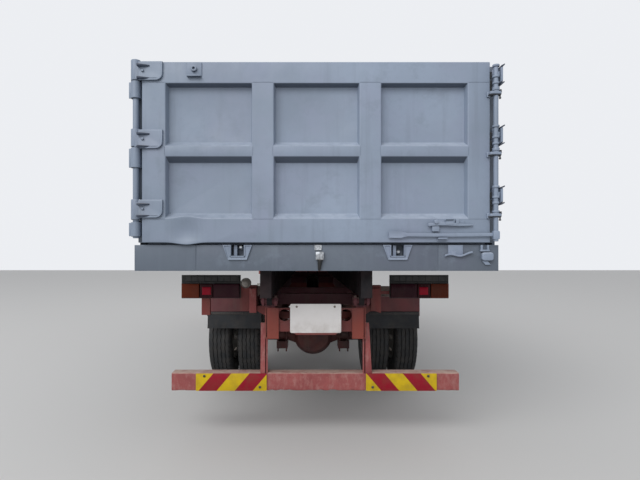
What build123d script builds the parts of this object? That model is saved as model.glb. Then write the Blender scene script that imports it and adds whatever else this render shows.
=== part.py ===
from build123d import *
import math
import os

# High-sided tipper lorry with twin rear tyres and a one-piece tailgate hung on its left side.
# Millimetres. +Y is the way the lorry drives, +X its right side, +Z up.
# The origin is on the ground, below the middle of the whole lorry.

# Overall reach and the wheels
REAR_REACH = -4440
FRONT_REACH = 4440
BODY_HALF = 1245
TYRE_RADIUS = 522
TYRE_WIDTH = 278
BEAD_RADIUS = 286
FRONT_AXLE_Y = 3210
REAR_AXLE_Y = -1640
FRONT_WHEEL_X = 980
REAR_WHEEL_X = 923.5
TWIN_SPACING = 338
KINGPIN_X = 860
STEERING_ARM = 180
PIN_PLAY = 0.5

# Ladder frame
RAIL_OUTER = 400
RAIL_FLANGE = 80
RAIL_WEB = 8
RAIL_BOTTOM = 850
RAIL_TOP = 1100
RAIL_REAR = -3840
RAIL_FRONT = 4220
SUBFRAME_TOP = 1200
SUBFRAME_FRONT = 2150
EYE_X = 370
EYE_Y = 4340
EYE_Z = 350
EYE_HOLE = 22
BRACKET_FRONT = 4240
PLATE_HOLE_SPACING = 290
PLATE_HOLE_RADIUS = 3.5
PLATE_HOLE_Z = 1120

# Tipping body
TIP_PIVOT_Y = -3890
TIP_PIVOT_Z = 1158
TIP_PIN_RADIUS = 25
MEMBER_BOTTOM = 1206
FLOOR_TOP = 1600
FLOOR_PLATE = 8
CROSS_DEPTH = 92
WALL_TOP = 2823
WALL_INNER = 1165
WALL_OUTER = 1235
BED_FRONT = 2260
BED_WALL = 70
CROSS_COUNT = 12
SIDE_PANELS = 6
REAR_FRAME_FRONT = -4230
POST_REAR = -4310
POST_OUTER = 1225
SILL_REAR = -4360
SILL_BOTTOM = 1405
SILL_TOP = 1590

# Tailgate, its hinge pipe and its lock rod
GATE_REAR = -4390
GATE_FRONT = -4320
GATE_HALF = 1190
GATE_BOTTOM = 1597
POCKET_DEPTH = 45
POCKET_SLOPE = 35
# Pockets as (left, right) across the gate and (bottom, top) up every wall
GATE_COLUMNS = [(-1025, -438), (-291, 291), (438, 1025)]
POCKET_ROWS = [(1762, 2183), (2253, 2678)]
# Hinge leaves, hinge sleeves, lock bearings and lock keepers as (bottom, top)
HINGE_LEAVES = [(1765, 1887), (2233, 2362), (2694, 2823)]
HINGE_SLEEVES = [(1640, 1737), (2110, 2246), (2585, 2700)]
LOCK_BEARINGS = [(1765, 1805), (2178, 2226), (2585, 2633)]
KEEPERS = [(1860, 1982), (2260, 2389), (2667, 2796)]
HINGE_X = -1238
HINGE_Y = -4350
HINGE_RADIUS = 27
HINGE_BOTTOM = 1629
HINGE_TOP = 2850
LOCK_X = 1207
LOCK_Y = -4410
LOCK_RADIUS = 16
LOCK_BOTTOM = 1605
LOCK_TOP = 2796

# Tipping cylinder
HOIST_BASE_Y = -2590
HOIST_BASE_Z = 858
HOIST_EYE_Y = -990
HOIST_EYE_Z = 1208
BARREL_RADIUS = 78
ROD_RADIUS = 50

# Cab
CAB_HALF = 1150
CAB_ROOF_HALF = 1080
CAB_WAIST = 1700
CAB_REAR = 2560
CAB_FRONT = 4380
CAB_BOTTOM = 1130
APRON_BOTTOM = 880
CAB_ROOF = 2620
CAB_WALL = 60
DOOR_REAR = 2790
DOOR_FRONT = 3950
DOOR_BOTTOM = 1215
DOOR_TOP = 2450
DOOR_GAP = 6


def block(x0, x1, y0, y1, z0, z1):
    """Box between two opposite corners."""
    centre = Pos((x0 + x1) / 2, (y0 + y1) / 2, (z0 + z1) / 2)
    return centre * Box(abs(x1 - x0), abs(y1 - y0), abs(z1 - z0))


def rod_x(radius, x0, x1, y, z):
    """Round bar along X."""
    return Pos((x0 + x1) / 2, y, z) * Rot(0, 90, 0) * Cylinder(radius, abs(x1 - x0))


def rod_y(radius, y0, y1, x, z):
    """Round bar along Y."""
    return Pos(x, (y0 + y1) / 2, z) * Rot(90, 0, 0) * Cylinder(radius, abs(y1 - y0))


def rod_z(radius, z0, z1, x, y):
    """Round bar along Z."""
    return Pos(x, y, (z0 + z1) / 2) * Cylinder(radius, abs(z1 - z0))


def side_plate(outline, x0, x1):
    """Plate with a (y, z) outline, from x0 to x1."""
    face = Plane.YZ.offset(x0) * make_face(Polyline(*outline, close=True))
    return extrude(face, amount=x1 - x0, dir=(1, 0, 0))


def front_plate(outline, y0, y1):
    """Plate with an (x, z) outline, from y0 to y1."""
    face = Plane.XZ.offset(-y0) * make_face(Polyline(*outline, close=True))
    return extrude(face, amount=y1 - y0, dir=(0, 1, 0))


def turned_x(outline):
    """Ring with an (x, radius) outline, turned about the X axis."""
    return revolve(Plane.XZ * make_face(outline), Axis.X)


def both_sides(shape):
    """The shape and its mirror image across the lorry's centre plane."""
    return Compound(children=[shape, mirror(shape, about=Plane.YZ)])


def frame():
    """Two C-section rails, their cross members, the towing eyes and the brackets that stand on them."""
    rail_inner = RAIL_OUTER - RAIL_FLANGE
    rail = block(rail_inner, RAIL_OUTER, RAIL_REAR, RAIL_FRONT, RAIL_BOTTOM, RAIL_TOP)
    rail -= block(rail_inner - 1, RAIL_OUTER - RAIL_WEB, RAIL_REAR - 1, RAIL_FRONT + 1,
                  RAIL_BOTTOM + RAIL_WEB, RAIL_TOP - RAIL_WEB)
    pieces = [rail, mirror(rail, about=Plane.YZ)]
    web_inner = RAIL_OUTER - RAIL_WEB
    # Cross members as (y, depth along y, bottom, top, radius of the two round holes in the rear one)
    for y, depth, bottom, top, hole in [
        (RAIL_REAR + 10, 60, 905, RAIL_TOP - RAIL_WEB, 48),
        (-2740, 70, 862, 935, 0),
        (-900, 70, 870, 980, 0),
        (600, 70, 870, 1070, 0),
        (2300, 70, 870, 1070, 0),
        (RAIL_FRONT - 80, 80, 880, 1070, 0),
    ]:
        member = block(-web_inner, web_inner, y, y + depth, bottom, top)
        member -= block(-web_inner - 1, web_inner + 1, y + 8, y + depth + 1, bottom + 8, top - 8)
        if hole:
            for x in (-245, 245):
                member -= rod_y(hole, y - 1, y + 9, x, 1035)
        pieces.append(member)
    # Caps that close the rear ends of the rails
    for side in (-1, 1):
        inner, outer = sorted((side * 292, side * (RAIL_OUTER - 16)))
        pieces.append(block(inner, outer, RAIL_REAR - 8, RAIL_REAR, RAIL_BOTTOM, RAIL_TOP - 4))
    # Base of the tipping cylinder in front of the second cross member
    base = rod_x(27, -90, 90, HOIST_BASE_Y, HOIST_BASE_Z)
    for x in (-88, 60):
        base += side_plate([(-2670, 862), (-2650, 812), (-2550, 812), (-2550, 890), (-2590, 925), (-2670, 935)],
                           x, x + 28)
    pieces.append(base)
    # Bracket that holds the number plate behind the rear cross member
    member_rear = RAIL_REAR + 10
    bracket = block(-150, 150, -3880, member_rear, 905, 925)
    bracket += front_plate([(-150, 905), (150, 905), (185, 930), (185, 1135), (-185, 1135), (-185, 930)],
                           -3986, -3980)
    bracket += block(-150, -142, -3986, member_rear, 905, 1000)
    bracket += block(142, 150, -3986, member_rear, 905, 1000)
    for x in (-PLATE_HOLE_SPACING / 2, PLATE_HOLE_SPACING / 2):
        bracket -= rod_y(PLATE_HOLE_RADIUS, -3990, -3970, x, PLATE_HOLE_Z)
    pieces.append(bracket)
    # Lamp carriers outside the rails, and the short post at the left
    for side in (-1, 1):
        inner, outer = sorted((side * RAIL_OUTER, side * 480))
        pieces.append(block(inner, outer, -3650, -3600, 1000, 1090))
        inner, outer = sorted((side * 480, side * 680))
        pieces.append(block(inner, outer, -3650, -3590, 1000, 1263))
        inner, outer = sorted((side * 680, side * 1110))
        pieces.append(block(inner, outer, -3650, -3625, 1190, 1215))
        # Flange with a slanting foot on the carrier's rear face
        pieces.append(front_plate([(side * 484, 1060), (side * 552, 1034), (side * 552, 1236), (side * 484, 1236)],
                                  -3672, -3650))
    pieces.append(block(-983, -930, -3650, -3610, 995, 1190))
    # Front brackets that carry the bumper, each with a towing eye that shows below it
    eye_radius = 42
    for x in (-EYE_X, EYE_X):
        arm = side_plate([(4050, RAIL_BOTTOM), (BRACKET_FRONT, RAIL_BOTTOM), (BRACKET_FRONT, 410),
                          (EYE_Y, EYE_Z + eye_radius - 4), (EYE_Y, EYE_Z - eye_radius + 4),
                          (BRACKET_FRONT - 60, 400)], x - 20, x + 20)
        arm += rod_x(eye_radius, x - 20, x + 20, EYE_Y, EYE_Z)
        pieces.append(arm - rod_x(EYE_HOLE, x - 21, x + 21, EYE_Y, EYE_Z))
    return Compound(children=pieces)


def subframe():
    """Box rails on the ladder frame with the two ears and the pins that the bed tips on."""
    rail_inner = RAIL_OUTER - RAIL_FLANGE
    ear_radius = 42
    rail = block(rail_inner, RAIL_OUTER, RAIL_REAR, SUBFRAME_FRONT, RAIL_TOP, SUBFRAME_TOP)
    pivot = rod_x(TIP_PIN_RADIUS, rail_inner - 28, RAIL_OUTER + 28, TIP_PIVOT_Y, TIP_PIVOT_Z)
    for x in (rail_inner - 20, RAIL_OUTER):
        pivot += block(x, x + 20, TIP_PIVOT_Y, RAIL_REAR + 160, TIP_PIVOT_Z - ear_radius, SUBFRAME_TOP - 10)
        pivot += rod_x(ear_radius, x, x + 20, TIP_PIVOT_Y, TIP_PIVOT_Z)
    pieces = [rail, mirror(rail, about=Plane.YZ), pivot, mirror(pivot, about=Plane.YZ)]
    for y in (-3700, -2900, -500, 700, 2050):
        pieces.append(block(-rail_inner, rail_inner, y, y + 60, RAIL_TOP + 10, SUBFRAME_TOP - 5))
    return Compound(children=pieces)


def underrun_bar():
    """Hollow bar across the tail on two stays that hang from the rails."""
    half, bottom, top, rear, front = 1160, 420, 564, -3790, -3670
    bar = fillet(block(-half, half, rear, front, bottom, top).edges().filter_by(Axis.X), 12)
    bar -= block(-half - 1, half + 1, rear + 6, front - 6, bottom + 6, top - 6)
    for side in (-1, 1):
        low, high = sorted((side * RAIL_OUTER, side * (RAIL_OUTER + 12)))
        bar += side_plate([(-3780, top - 4), (-3680, top - 4), (-3665, 860), (-3665, 1060),
                           (-3790, 1060), (-3790, 860)], low, high)
        low, high = sorted((side * RAIL_OUTER, side * (RAIL_OUTER + 60)))
        bar += side_plate([(-3790, top - 4), (-3780, top - 4), (-3780, 966), (-3790, 966)], low, high)
    return bar


def marker_plates():
    """Two sheets with reflective stripes on the bar, held off it by spacers."""
    plate = block(392, 957, -3800, -3796, 422, 562)
    for x in (450, 900):
        plate += rod_y(12, -3796, -3790, x, 492)
    return both_sides(plate)


def rear_lamp_housings():
    """Shallow boxes behind the lamps, and the round reversing lamp at the left."""
    box = block(622, 1113, -3665, -3650, 1155, 1283)
    box += block(622, 1113, -3665, -3650, 1283, 1350)
    shapes = [box, mirror(box, about=Plane.YZ)]
    lamp = rod_y(42, -3690, -3650, -576, 1283)
    shapes.append(lamp)
    return Compound(children=shapes)


def rear_lamp_lenses():
    """Indicator, stop and tail lenses, from the outside inwards."""
    lenses = []
    # Lenses as (outer x, inner x, bottom, top, depth)
    for outer, inner, bottom, top, depth in [
        (1110, 962, 1160, 1278, 24),
        (956, 866, 1168, 1272, 30),
        (860, 628, 1160, 1278, 24),
    ]:
        lens = block(inner, outer, -3665 - depth, -3665, bottom, top)
        lens = fillet(lens.faces().sort_by(Axis.Y)[0].edges(), 7)
        lenses += [lens, mirror(lens, about=Plane.YZ)]
    return Compound(children=lenses)


def number_plate():
    """Blank sheet with a raised rim and two holes for its screws."""
    half, bottom, top = 195, 920, 1141
    plate = block(-half, half, -3990, -3986, bottom, top)
    plate = fillet(plate.edges().filter_by(Axis.Y), 12)
    plate -= block(-half + 8, half - 8, -3991, -3989, bottom + 8, top - 8)
    for x in (-PLATE_HOLE_SPACING / 2, PLATE_HOLE_SPACING / 2):
        plate -= rod_y(PLATE_HOLE_RADIUS, -3992, -3980, x, PLATE_HOLE_Z)
    return plate


def rear_fenders():
    """Plastic wings over the twin tyres, with the flat skirt that each flap hangs from."""
    inner, outer, radius = 640, 1210, 600
    guard = rod_x(radius + 8, inner, outer, REAR_AXLE_Y, TYRE_RADIUS)
    guard -= rod_x(radius, inner - 1, outer + 1, REAR_AXLE_Y, TYRE_RADIUS)
    guard -= block(inner - 1, outer + 1, -2400, -900, -100, 830)
    guard += block(inner, outer, -2262, -2254, 830, 1050)
    guard += block(inner, outer, -2254, -1930, 1042, 1050)
    # Arms from the rail carry the wing in front of and behind the tyres
    for y in (-2020, -1300):
        guard += block(RAIL_OUTER, outer - 60, y, y + 40, 996, 1030)
    return both_sides(guard)


def mudflaps():
    """Rubber sheets below the skirts, clamped under a strip."""
    flap = block(590, 1200, -2274, -2264, 690, 880)
    flap += block(640, 1200, -2280, -2274, 846, 870)
    flap += block(660, 1180, -2264, -2262, 850, 876)
    return both_sides(flap)


def front_axle():
    """Forged beam, dropped in the middle, with a boss for each kingpin."""
    half_depth, beam = 45, 84
    low, high = 400, TYRE_RADIUS
    outline = [(-700, low), (700, low), (790, high - 42), (KINGPIN_X, high - 42), (KINGPIN_X, high + 42),
               (770, high + 42), (690, low + beam), (-690, low + beam), (-770, high + 42),
               (-KINGPIN_X, high + 42), (-KINGPIN_X, high - 42), (-790, high - 42)]
    beam_body = front_plate(outline, FRONT_AXLE_Y - half_depth, FRONT_AXLE_Y + half_depth)
    # The forging's web is thinner than its flanges
    for y0, y1 in ((-half_depth - 1, -14), (14, half_depth + 1)):
        beam_body -= block(-640, 640, FRONT_AXLE_Y + y0, FRONT_AXLE_Y + y1, low + 18, low + beam - 18)
    for x in (-KINGPIN_X, KINGPIN_X):
        beam_body += rod_z(46, high - 42, high + 42, x, FRONT_AXLE_Y)
        beam_body -= rod_z(22 + PIN_PLAY, high - 50, high + 50, x, FRONT_AXLE_Y)
    return beam_body


def knuckle():
    """Right steering knuckle: fork, kingpin, stub axle and steering arm."""
    x, y, z = KINGPIN_X, FRONT_AXLE_Y, TYRE_RADIUS
    shape = Part()
    for low, high in ((z - 100, z - 52), (z + 52, z + 100)):
        shape += rod_z(46, low, high, x, y)
        shape += block(x, x + 85, y - 46, y + 46, low, high)
    shape += rod_z(22, z - 104, z + 104, x, y)
    shape += block(x + 55, x + 85, y - 60, y + 60, z - 100, z + 100)
    shape += rod_x(80, x + 80, x + 92, y, z)
    shape += rod_x(35, x + 60, FRONT_WHEEL_X + 80, y, z)
    shape += block(x - 16, x + 16, y - STEERING_ARM, y - 30, z - 100, z - 76)
    shape += rod_z(25, z - 100, z - 76, x, y - STEERING_ARM)
    shape += rod_z(10, z - 146, z - 76, x, y - STEERING_ARM)
    return shape


def tie_rod():
    """Tube between the two steering arms, with an eye at each end."""
    y, z = FRONT_AXLE_Y - STEERING_ARM, TYRE_RADIUS - 125
    rod = rod_x(17, -KINGPIN_X, KINGPIN_X, y, z)
    for x in (-KINGPIN_X, KINGPIN_X):
        rod += rod_z(24, z - 18, z + 18, x, y)
    # The left eye fits its pin; the right one is loose on its own
    rod -= rod_z(10 + PIN_PLAY, z - 30, z + 30, -KINGPIN_X, y)
    rod -= rod_z(10 + 3, z - 30, z + 30, KINGPIN_X, y)
    return rod


def rear_axle():
    """Banjo housing with tapered tubes, stub ends and brake back plates."""
    y, z = REAR_AXLE_Y, TYRE_RADIUS
    bowl = Pos(0, y - 10, z) * Sphere(248) & rod_y(240, y - 170, y + 130, 0, z)
    axle = bowl + rod_y(95, y + 100, y + 300, 0, z)
    for side in (-1, 1):
        axle += rod_x(74, side * 150, side * (REAR_WHEEL_X - 256), y, z)
        axle += Pos(side * 215, y, z) * Rot(0, side * 90, 0) * Cone(150, 74, 200)
        axle += rod_x(45, side * 650, side * (REAR_WHEEL_X + 100), y, z)
        axle += rod_x(183, side * (REAR_WHEEL_X - 262), side * (REAR_WHEEL_X - 252), y, z)
    return axle


def leaf_springs():
    """Curved leaf packs under each rail with hangers, seats and U-bolts."""
    springs = Part()
    inner, outer = 345, 425
    middle = (inner + outer) / 2
    # Springs as (axle y, half span, seat z, pack depth, eye z, top of the plate below the axle, its depth,
    # how far it stands out at each side, bolt offset)
    for y, half, seat, depth, eye, plate, plate_depth, reach, bolt in [
        (FRONT_AXLE_Y, 640, 484, 62, 690, 400, 20, 25, 62),
        (REAR_AXLE_Y, 700, 612, 120, 770, 448, 90, 28, 90),
    ]:
        low = ThreePointArc((y - half, eye - 14), (y, seat), (y + half, eye - 14))
        high = ThreePointArc((y + half, eye + 4), (y, seat + depth), (y - half, eye + 4))
        ends = [Line((y - half, eye - 14), (y - half, eye + 4)), Line((y + half, eye - 14), (y + half, eye + 4))]
        face = Plane.YZ.offset(inner) * make_face([low, high] + ends)
        pack = extrude(face, amount=outer - inner, dir=(1, 0, 0))
        for end in (y - half, y + half):
            pack += rod_x(26, inner - 6, outer + 6, end, eye)
            pack += block(inner - 12, inner - 4, end - 45, end + 45, eye - 30, RAIL_BOTTOM)
            pack += block(outer + 4, outer + 12, end - 45, end + 45, eye - 30, RAIL_BOTTOM)
            pack += block(inner - 12, outer + 12, end - 45, end + 45, RAIL_BOTTOM - 10, RAIL_BOTTOM)
        pack += block(inner - 25, outer + 25, y - bolt - 20, y + bolt + 20, seat + depth - 4, seat + depth + 16)
        pack += block(inner - reach, outer + reach, y - bolt - 20, y + bolt + 20, plate - plate_depth, plate)
        for bolt_y in (y - bolt, y + bolt):
            for bolt_x in (inner - 12, outer + 12):
                pack += rod_z(9, plate - plate_depth - 40, seat + depth + 20, bolt_x, bolt_y)
            pack += rod_x(9, inner - 12, outer + 12, bolt_y, seat + depth + 20)
        if y == REAR_AXLE_Y:
            pack += block(inner - 5, outer + 5, y - 70, y + 70, TYRE_RADIUS + 40, seat + 4)
            pack -= rod_x(74, middle - 200, middle + 200, y, TYRE_RADIUS)
        springs += [pack, mirror(pack, about=Plane.YZ)]
    return springs


def tyre(middle):
    """Tyre about the X axis, its tread and sides drawn as one section round the bead."""
    bead, bulge, shoulder, tread = 104, TYRE_WIDTH / 2, 121, 104
    lip_radius, bulge_radius, shoulder_radius = BEAD_RADIUS + 18, 404, 498
    right = ThreePointArc((bead, lip_radius), (bulge, bulge_radius), (shoulder, shoulder_radius))
    left = ThreePointArc((-bead, lip_radius), (-bulge, bulge_radius), (-shoulder, shoulder_radius))
    crown = Polyline((shoulder, shoulder_radius), (tread, TYRE_RADIUS), (-tread, TYRE_RADIUS),
                     (-shoulder, shoulder_radius))
    foot = Polyline((-bead, lip_radius), (-bead, BEAD_RADIUS), (bead, BEAD_RADIUS), (bead, lip_radius))
    return Pos(middle, 0, 0) * turned_x([right, left, crown, foot])


def rim_barrel(middle):
    """Well of one wheel with its two bead flanges, as an (x, radius) outline to turn."""
    return Pos(middle, 0, 0) * turned_x(Polyline(
        (-116, 262), (116, 262), (116, 300), (106, 300), (106, BEAD_RADIUS - 1), (-106, BEAD_RADIUS - 1),
        (-106, 300), (-116, 300), close=True))


def hand_holes(x0, x1, radius, hole, count):
    """Ring of round holes through a wheel disc."""
    return [Rot(360 / count * turn, 0, 0) * rod_x(hole, x0, x1, 0, radius) for turn in range(count)]


def front_rim():
    """Disc wheel whose disc bulges outwards, with its hub and brake drum."""
    disc = turned_x(Polyline((20, 262), (34, 262), (110, 178), (110, 60), (96, 60), (96, 172),
                             close=True))
    disc -= hand_holes(0, 130, 222, 27, 8)
    hub = turned_x(Polyline((-25, 35 + PIN_PLAY), (86, 35 + PIN_PLAY), (86, 0), (152, 0), (152, 62),
                            (140, 78), (110, 82), (110, 90), (-25, 90), close=True))
    drum = turned_x(Polyline((-68, 188), (50, 188), (50, 88), (66, 88), (66, 203), (-68, 203), close=True))
    return rim_barrel(0) + disc + hub + drum


def rear_rims():
    """Two disc wheels bolted back to back on one hub, with the brake drum inside the inner one."""
    half = TWIN_SPACING / 2
    dish = turned_x(Polyline((half - 112, 262), (half - 98, 262), (14, 182), (14, 100), (0, 100),
                             (0, 186), close=True))
    dish -= hand_holes(0, 80, 222, 27, 8)
    inner_dish = mirror(dish, about=Plane.YZ)
    hub = turned_x(Polyline((-245, 45 + PIN_PLAY), (106, 45 + PIN_PLAY), (106, 0), (150, 0), (150, 74),
                            (136, 92), (20, 96), (20, 140), (-20, 140), (-20, 96), (-245, 92),
                            close=True))
    drum = turned_x(Polyline((-244, 190), (-40, 190), (-40, 94), (-22, 94), (-22, 206), (-244, 206),
                             close=True))
    return rim_barrel(half) + rim_barrel(-half) + dish + inner_dish + hub + drum


def pocket(width, height):
    """Pressed recess of a wall panel: a block that narrows along +Z."""
    taper = math.degrees(math.atan2(POCKET_SLOPE, POCKET_DEPTH))
    return extrude(Rectangle(width, height), amount=POCKET_DEPTH, taper=taper)


def press_pockets(panel, columns, face_plane):
    """Cut two rows of pockets into a panel, where face_plane(u, z) lies on the panel's outer face."""
    for left, right in columns:
        for low, high in POCKET_ROWS:
            cutter = pocket(right - left, high - low)
            panel -= face_plane((left + right) / 2, (low + high) / 2) * cutter
    return panel


def gate_panel():
    """One-piece tailgate with six pressed pockets between its rails and posts."""
    panel = block(-GATE_HALF, GATE_HALF, GATE_REAR, GATE_FRONT, GATE_BOTTOM, WALL_TOP)
    return press_pockets(panel, GATE_COLUMNS, lambda x, z: Plane(
        origin=(x, GATE_REAR, z), x_dir=(1, 0, 0), z_dir=(0, 1, 0)))


def gate_fittings():
    """Hinge pipe with its three leaves, the bearings of the lock rod, the handle's rest and catch."""
    leaf_inner, leaf_left, thick = -1041, HINGE_X + 33, 10
    face = GATE_REAR
    hinge = rod_z(HINGE_RADIUS, HINGE_BOTTOM, HINGE_TOP, HINGE_X, HINGE_Y)
    ear_outline = [(HINGE_X, HINGE_Y - 36), (HINGE_X, HINGE_Y), (HINGE_X + 33, HINGE_Y),
                   (HINGE_X + 42, face - 2), (HINGE_X + 42, face - thick), (leaf_inner - 14, face - thick),
                   (leaf_inner - 14, face - thick - 8), (HINGE_X + 48, face - thick - 28)]
    for low, high in HINGE_LEAVES:
        leaf = block(leaf_left, leaf_inner, face - thick, face, low, high)
        corner = leaf.edges().filter_by(Axis.Y).sort_by(lambda e: e.center().X - e.center().Z)[-1]
        hinge += fillet(corner, 45)
        for z in (low + 19, high - 29):
            ear = extrude(Plane.XY.offset(z) * make_face(Polyline(*ear_outline, close=True)), amount=thick)
            hinge += ear + rod_z(36, z, z + thick, HINGE_X, HINGE_Y)
    shapes = [hinge]
    for low, high in LOCK_BEARINGS:
        plate_top = low + 24
        bearing = block(1157, LOCK_X + 33, LOCK_Y - 24, face, low, plate_top)
        bearing = fillet(bearing.edges().filter_by(Axis.Z).sort_by(Axis.Y)[:2], 14)
        bearing += rod_z(23, low, high, LOCK_X, LOCK_Y)
        bearing += rod_z(8, plate_top, high - 8, LOCK_X + 24, LOCK_Y + 12)
        shapes.append(bearing - rod_z(LOCK_RADIUS + PIN_PLAY, low - 1, high + 1, LOCK_X, LOCK_Y))
    # Handle rest, a small angle below the lock handle
    shapes.append(block(815, 878, face - 34, face, 1618, 1626) + block(815, 878, face - 8, face, 1606, 1626))
    # Catch above the handle: a base plate, a pivot block and a bent lever
    catch = block(760, 1040, face - 8, face, 1704, 1752)
    catch += block(905, 960, face - 34, face - 8, 1700, 1750)
    catch += front_plate([(750, 1700), (900, 1712), (1055, 1706), (1055, 1722), (900, 1732), (750, 1722)],
                         face - 30, face - 8)
    shapes.append(catch)
    # Drilled boss on a plate at the top left
    boss = block(-879, -777, face - 8, face, 2720, 2816) + rod_y(20, face - 26, face - 8, -828, 2769)
    shapes.append(boss - rod_y(9, face - 27, face - 6, -828, 2769))
    return Compound(children=shapes)


def lock_rod():
    """Vertical rod with three cams and a long flat handle that folds along the bottom rail."""
    rod = rod_z(LOCK_RADIUS, LOCK_BOTTOM, LOCK_TOP, LOCK_X, LOCK_Y)
    for low, high in KEEPERS:
        middle = (low + high) / 2
        rod += rod_z(21, middle - 18, middle + 18, LOCK_X, LOCK_Y)
        rod += block(LOCK_X, LOCK_X + 34, LOCK_Y - 10, LOCK_Y + 10, middle - 15, middle + 15)
        rod += rod_z(10, middle - 15, middle + 15, LOCK_X + 34, LOCK_Y)
    handle_end, handle_low, handle_high = 485, 1640, 1663
    rod += block(LOCK_X - 17, LOCK_X + 38, LOCK_Y - 16, LOCK_Y + 16, 1622, 1674)
    rod += block(handle_end + 90, LOCK_X, LOCK_Y - 6, LOCK_Y + 6, handle_low, handle_high)
    rod += front_plate([(handle_end, 1632), (handle_end + 80, 1632), (handle_end + 115, handle_low),
                        (handle_end + 115, handle_high), (handle_end + 80, 1672), (handle_end, 1672)],
                       LOCK_Y - 6, LOCK_Y + 6)
    return rod


def bed_floor():
    """Floor plate on cross members and two long members with the tipping lugs and the hoist's clevis."""
    rear, front = REAR_FRAME_FRONT, BED_FRONT
    under = FLOOR_TOP - FLOOR_PLATE
    low = FLOOR_TOP - FLOOR_PLATE - CROSS_DEPTH
    rail_inner = RAIL_OUTER - RAIL_FLANGE
    side_inner = WALL_OUTER - 50
    pieces = [block(-WALL_INNER, WALL_INNER, rear, front - BED_WALL, under, FLOOR_TOP)]
    pitch = (front - rear) / CROSS_COUNT
    for step in range(CROSS_COUNT):
        y = rear + pitch * (step + 0.5)
        pieces.append(block(-side_inner, side_inner, y - 30, y + 30, low, under))
    # Right half of what lies below: side member, long member with its lug, and the clevis on its stringer
    right = [block(side_inner, WALL_OUTER, rear, front, low, under),
             block(rail_inner, RAIL_OUTER, rear, SUBFRAME_FRONT, MEMBER_BOTTOM, low)]
    lug = block(rail_inner + 20, RAIL_OUTER - 20, TIP_PIVOT_Y - 40, TIP_PIVOT_Y + 40, TIP_PIVOT_Z, MEMBER_BOTTOM)
    lug += rod_x(40, rail_inner + 20, RAIL_OUTER - 20, TIP_PIVOT_Y, TIP_PIVOT_Z)
    right.append(lug - rod_x(TIP_PIN_RADIUS + PIN_PLAY, rail_inner, RAIL_OUTER, TIP_PIVOT_Y, TIP_PIVOT_Z))
    right.append(block(50, 110, HOIST_EYE_Y - 700, HOIST_EYE_Y + 700, low - 40, low))
    right.append(side_plate([(HOIST_EYE_Y - 150, low - 40), (HOIST_EYE_Y - 70, HOIST_EYE_Z - 50),
                             (HOIST_EYE_Y + 70, HOIST_EYE_Z - 50), (HOIST_EYE_Y + 330, low - 40)], 56, 70))
    return Compound(children=pieces + right + [mirror(piece, about=Plane.YZ) for piece in right])


def bed_side():
    """Right side wall with two rows of pressed pockets."""
    rear, front = REAR_FRAME_FRONT, BED_FRONT - BED_WALL
    wall = block(WALL_INNER, WALL_OUTER, rear, front, FLOOR_TOP - FLOOR_PLATE, WALL_TOP)
    pitch = (front - rear) / SIDE_PANELS
    columns = [(rear + pitch * step + 80, rear + pitch * (step + 1) - 80) for step in range(SIDE_PANELS)]
    return press_pockets(wall, columns, lambda y, z: Plane(
        origin=(WALL_OUTER, y, z), x_dir=(0, 1, 0), z_dir=(-1, 0, 0)))


def bed_front():
    """Headboard with the same pockets as the gate, on the face towards the cab."""
    board = block(-WALL_OUTER, WALL_OUTER, BED_FRONT - BED_WALL, BED_FRONT, FLOOR_TOP - FLOOR_PLATE, WALL_TOP)
    return press_pockets(board, GATE_COLUMNS, lambda x, z: Plane(
        origin=(x, BED_FRONT, z), x_dir=(1, 0, 0), z_dir=(0, -1, 0)))


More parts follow.
